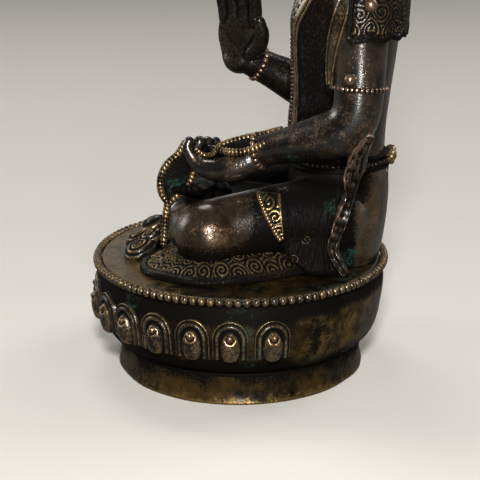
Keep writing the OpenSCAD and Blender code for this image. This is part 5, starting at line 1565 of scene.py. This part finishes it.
ear = limb([[10.6, 28.4, 131.6], [11.9, 29.6, 130.4], [12.0, 29.2, 126.5], [11.4, 28.2, 123.4],
            [10.9, 27.9, 120.2]], [0.7, 1.0, 1.2, 1.3, 0.9], 40, 16)
inner_ear = limb([[11.0, 27.6, 129.6], [11.5, 27.7, 127.2], [11.2, 27.4, 125.0]], [0.5, 0.7, 0.6], 24, 12)
ears = [ear, inner_ear, mirrored(ear), mirrored(inner_ear)]
head = weather(together(head_skin, tube(bun), *ears), 3, 0.7, 0.4)
cast("head_bronze", head, body_bronze, "bronze_body", "head")

# %% [markdown]
# ## Crown
# Five leaves stand on a beaded band over the brow. They could be cut from a sheet with a curve. Here a leaf
# is a slab on a cylinder that leans a little outwards, so it follows the head by itself; its outline is a
# power curve that ends in a point, with a raised border, veins and a boss in the middle.

# %% Crown
CROWN_Z = NECK_Z + HEAD_H * 0.66
CROWN_WIDE, CROWN_DEEP = 12.35, 13.6
LEAF_HALF, LEAF_H, MIDDLE_LEAF_H = 3.75, 8.2, 9.0
LEAF_BEND_R = 12.6
BOSS_Z = 3.2
LEAF_ANGLES = np.radians([-80, -40, 0, 40, 80])


def crown_at(angle, z, out):
    """Points of the crown's oval at an angle from the front, raised by out."""
    x, y = (CROWN_WIDE + out) * np.sin(angle), HEAD_Y - (CROWN_DEEP + out) * np.cos(angle)
    return np.stack(np.broadcast_arrays(x, y, z), -1)


crown_turn = full_turn(160)
band_section = np.array([[0, -0.5], [2.6, -0.5], [2.6, 0.35], [2.2, 0.6], [1.9, 0.25], [0.7, 0.25],
                         [0.4, 0.6], [0, 0.35]])
band_rings = crown_at(crown_turn[:, None], CROWN_Z + band_section[:, 0], band_section[:, 1])
band_beads = string(crown_at(crown_turn, CROWN_Z + 1.3, 0.4), 1.3, True, 0.4, 1.05)
crown_parts = [hoop(band_rings, brass=0.5), band_beads]
s, h = np.meshgrid(np.linspace(-1, 1, 41), np.linspace(0, 1, 46))
pinch = 1 - 0.12 * np.sin(np.pi * np.clip(h * 2, 0, 1))
half = LEAF_HALF * np.clip(1 - h**2.2, 0, 1) ** 0.75 * pinch + 0.05
lean = 0.3 + 1.6 * h**1.5
edge = (1 - np.abs(s)) * half
boss = 0.9 * np.sqrt(np.clip(1 - (s * half / 1.25) ** 2 - ((h * MIDDLE_LEAF_H - BOSS_Z) / 1.6) ** 2, 0, 1))
veins = 0.22 * np.cos(2 * np.pi * (h * 4.5 + np.abs(s) * 1.2))
relief = 0.35 * ease(0.9, 0.5, edge) + boss + veins * ease(0.8, 1.1, edge) * (boss <= 0)
vein_soot = 0.5 * ease(0.05, -0.15, veins) * (boss <= 0)
for angle in LEAF_ANGLES:
    leaf_z = CROWN_Z + 2.2 + (MIDDLE_LEAF_H if angle == 0 else LEAF_H) * h
    spread = angle + s * half / LEAF_BEND_R
    crown_parts.append(slab(crown_at(spread, leaf_z, lean + relief), crown_at(spread, leaf_z, lean - 0.75),
                            brass=0.6, deep=vein_soot))
cast("five_leaf_crown", weather(together(*crown_parts), 2, 1.2, 0.8), chased_bronze, "bronze_jewels", "crown")

# %% [markdown]
# ## Topknot jewel and ear discs
# A drop-shaped jewel ends the topknot over a ring of beads, and a wheel of two rings with a button hangs
# under each ear. A turned profile and swept rings are the shortest way to both.

# %% Topknot and ears
JEWEL_PROFILE = [[1.65, 160.05], [1.65, 160.8], [1.2, 161.2], [2.0, 161.9], [2.25, 162.8], [2.1, 163.7],
                 [1.5, 164.6], [0.8, 165.4], [0.15, 166.3]]
jewel_knots = np.arange(len(JEWEL_PROFILE))
jewel_line = smooth_rows(jewel_knots, JEWEL_PROFILE, np.linspace(0, jewel_knots[-1], 40))
jewel_rings = np.stack([level_ring(radius, HEAD_Y, height) for radius, height in jewel_line])
knot_band = string(level_ring(5.15, HEAD_Y, 150.0), 1.3, True, 0.4, 1.0)
finial = weather(together(tube(jewel_rings, worn=0.2), knot_band), 2, 1.0, 0.6)
cast("topknot_finial", finial, jewel_bronze, "bronze_jewels", "topknot_jewel")
for label, d in (("left", 1), ("right", -1)):
    spot = np.array([11.9 * d, 27.7, 119.4])
    rings = [spot + np.column_stack([np.zeros(80), circle(80, r)]) for r in (2.25, 1.3)]
    wheel = [hoop(sweep(ring, circle(10, thick), [1, 0, 0], True)) for ring, thick in zip(rings, (0.5, 0.4))]
    disc = fold(spot, UP, [d, 0, 0], 2.5, 2.5, 0.9, 5.0)
    button = balls([spot + [0.7 * d, 0, 0]], [0.85], worn=0.3)
    ear_wheel = weather(together(disc, button, *wheel), 1, 1.2, 0.8)
    cast(label + "_ear_wheel", ear_wheel, jewel_bronze, "bronze_jewels", label + "_ear_disc")

# %% [markdown]
# ## Hidden filling
# A consecrated bronze is filled and closed with a copper plate: a wooden pole, rolled papers and the tangs
# that hold the figure. These solids already have their final shape, so only their finishes are new:
# hammered copper, wood with rings, and rolled paper with the edges of its turns.

# %% Finishes of the filling


def dress(material, *names):
    """Gives carried-over CAD nodes their finish."""
    for name in names:
        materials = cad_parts[name].data.materials
        materials.clear()
        materials.append(material)


copper, tree, shader = new_finish("hammered_copper", 0.38)
place = node(tree, "ShaderNodeTexCoord", (), "Object")
hammer = (("Vector", place), ("Scale", 260.0))
dents = node(tree, "ShaderNodeTexVoronoi", hammer, "Distance", feature="SMOOTH_F1")
stain = noise(place, 60, 6).window(0.42, 0.66)
connect(shader, "Base Color", stain.blend((0.42, 0.21, 0.125), (0.16, 0.085, 0.055)))
connect(shader, "Metallic", 0.95)
connect(shader, "Normal", dents.bump(0.5, 0.0004))
dress(copper, "sealing_plate", "seat_tangs")

wood, tree, shader = new_finish("cedar", 0.7)
place = node(tree, "ShaderNodeTexCoord", (), "Object")
wood_wave = (("Vector", place), ("Scale", 420.0), ("Distortion", 2.5), ("Detail", 3.0))
year_rings = node(tree, "ShaderNodeTexWave", wood_wave, "Fac", wave_type="RINGS", rings_direction="Z")
connect(shader, "Base Color", year_rings.blend((0.30, 0.16, 0.075), (0.46, 0.27, 0.14)))
dress(wood, "life_tree")

paper, tree, shader = new_finish("rolled_paper", 0.85)
place = node(tree, "ShaderNodeTexCoord", (), "Object")
paper_wave = (("Vector", place), ("Scale", 900.0), ("Distortion", 1.0))
turns = node(tree, "ShaderNodeTexWave", paper_wave, "Fac", bands_direction="Z")
connect(shader, "Base Color", (turns * noise(place, 300)).blend((0.62, 0.53, 0.37), (0.44, 0.35, 0.22)))
dress(paper, "paper_rolls")
print("carried over:", [n for n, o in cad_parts.items() if not o.hide_render])
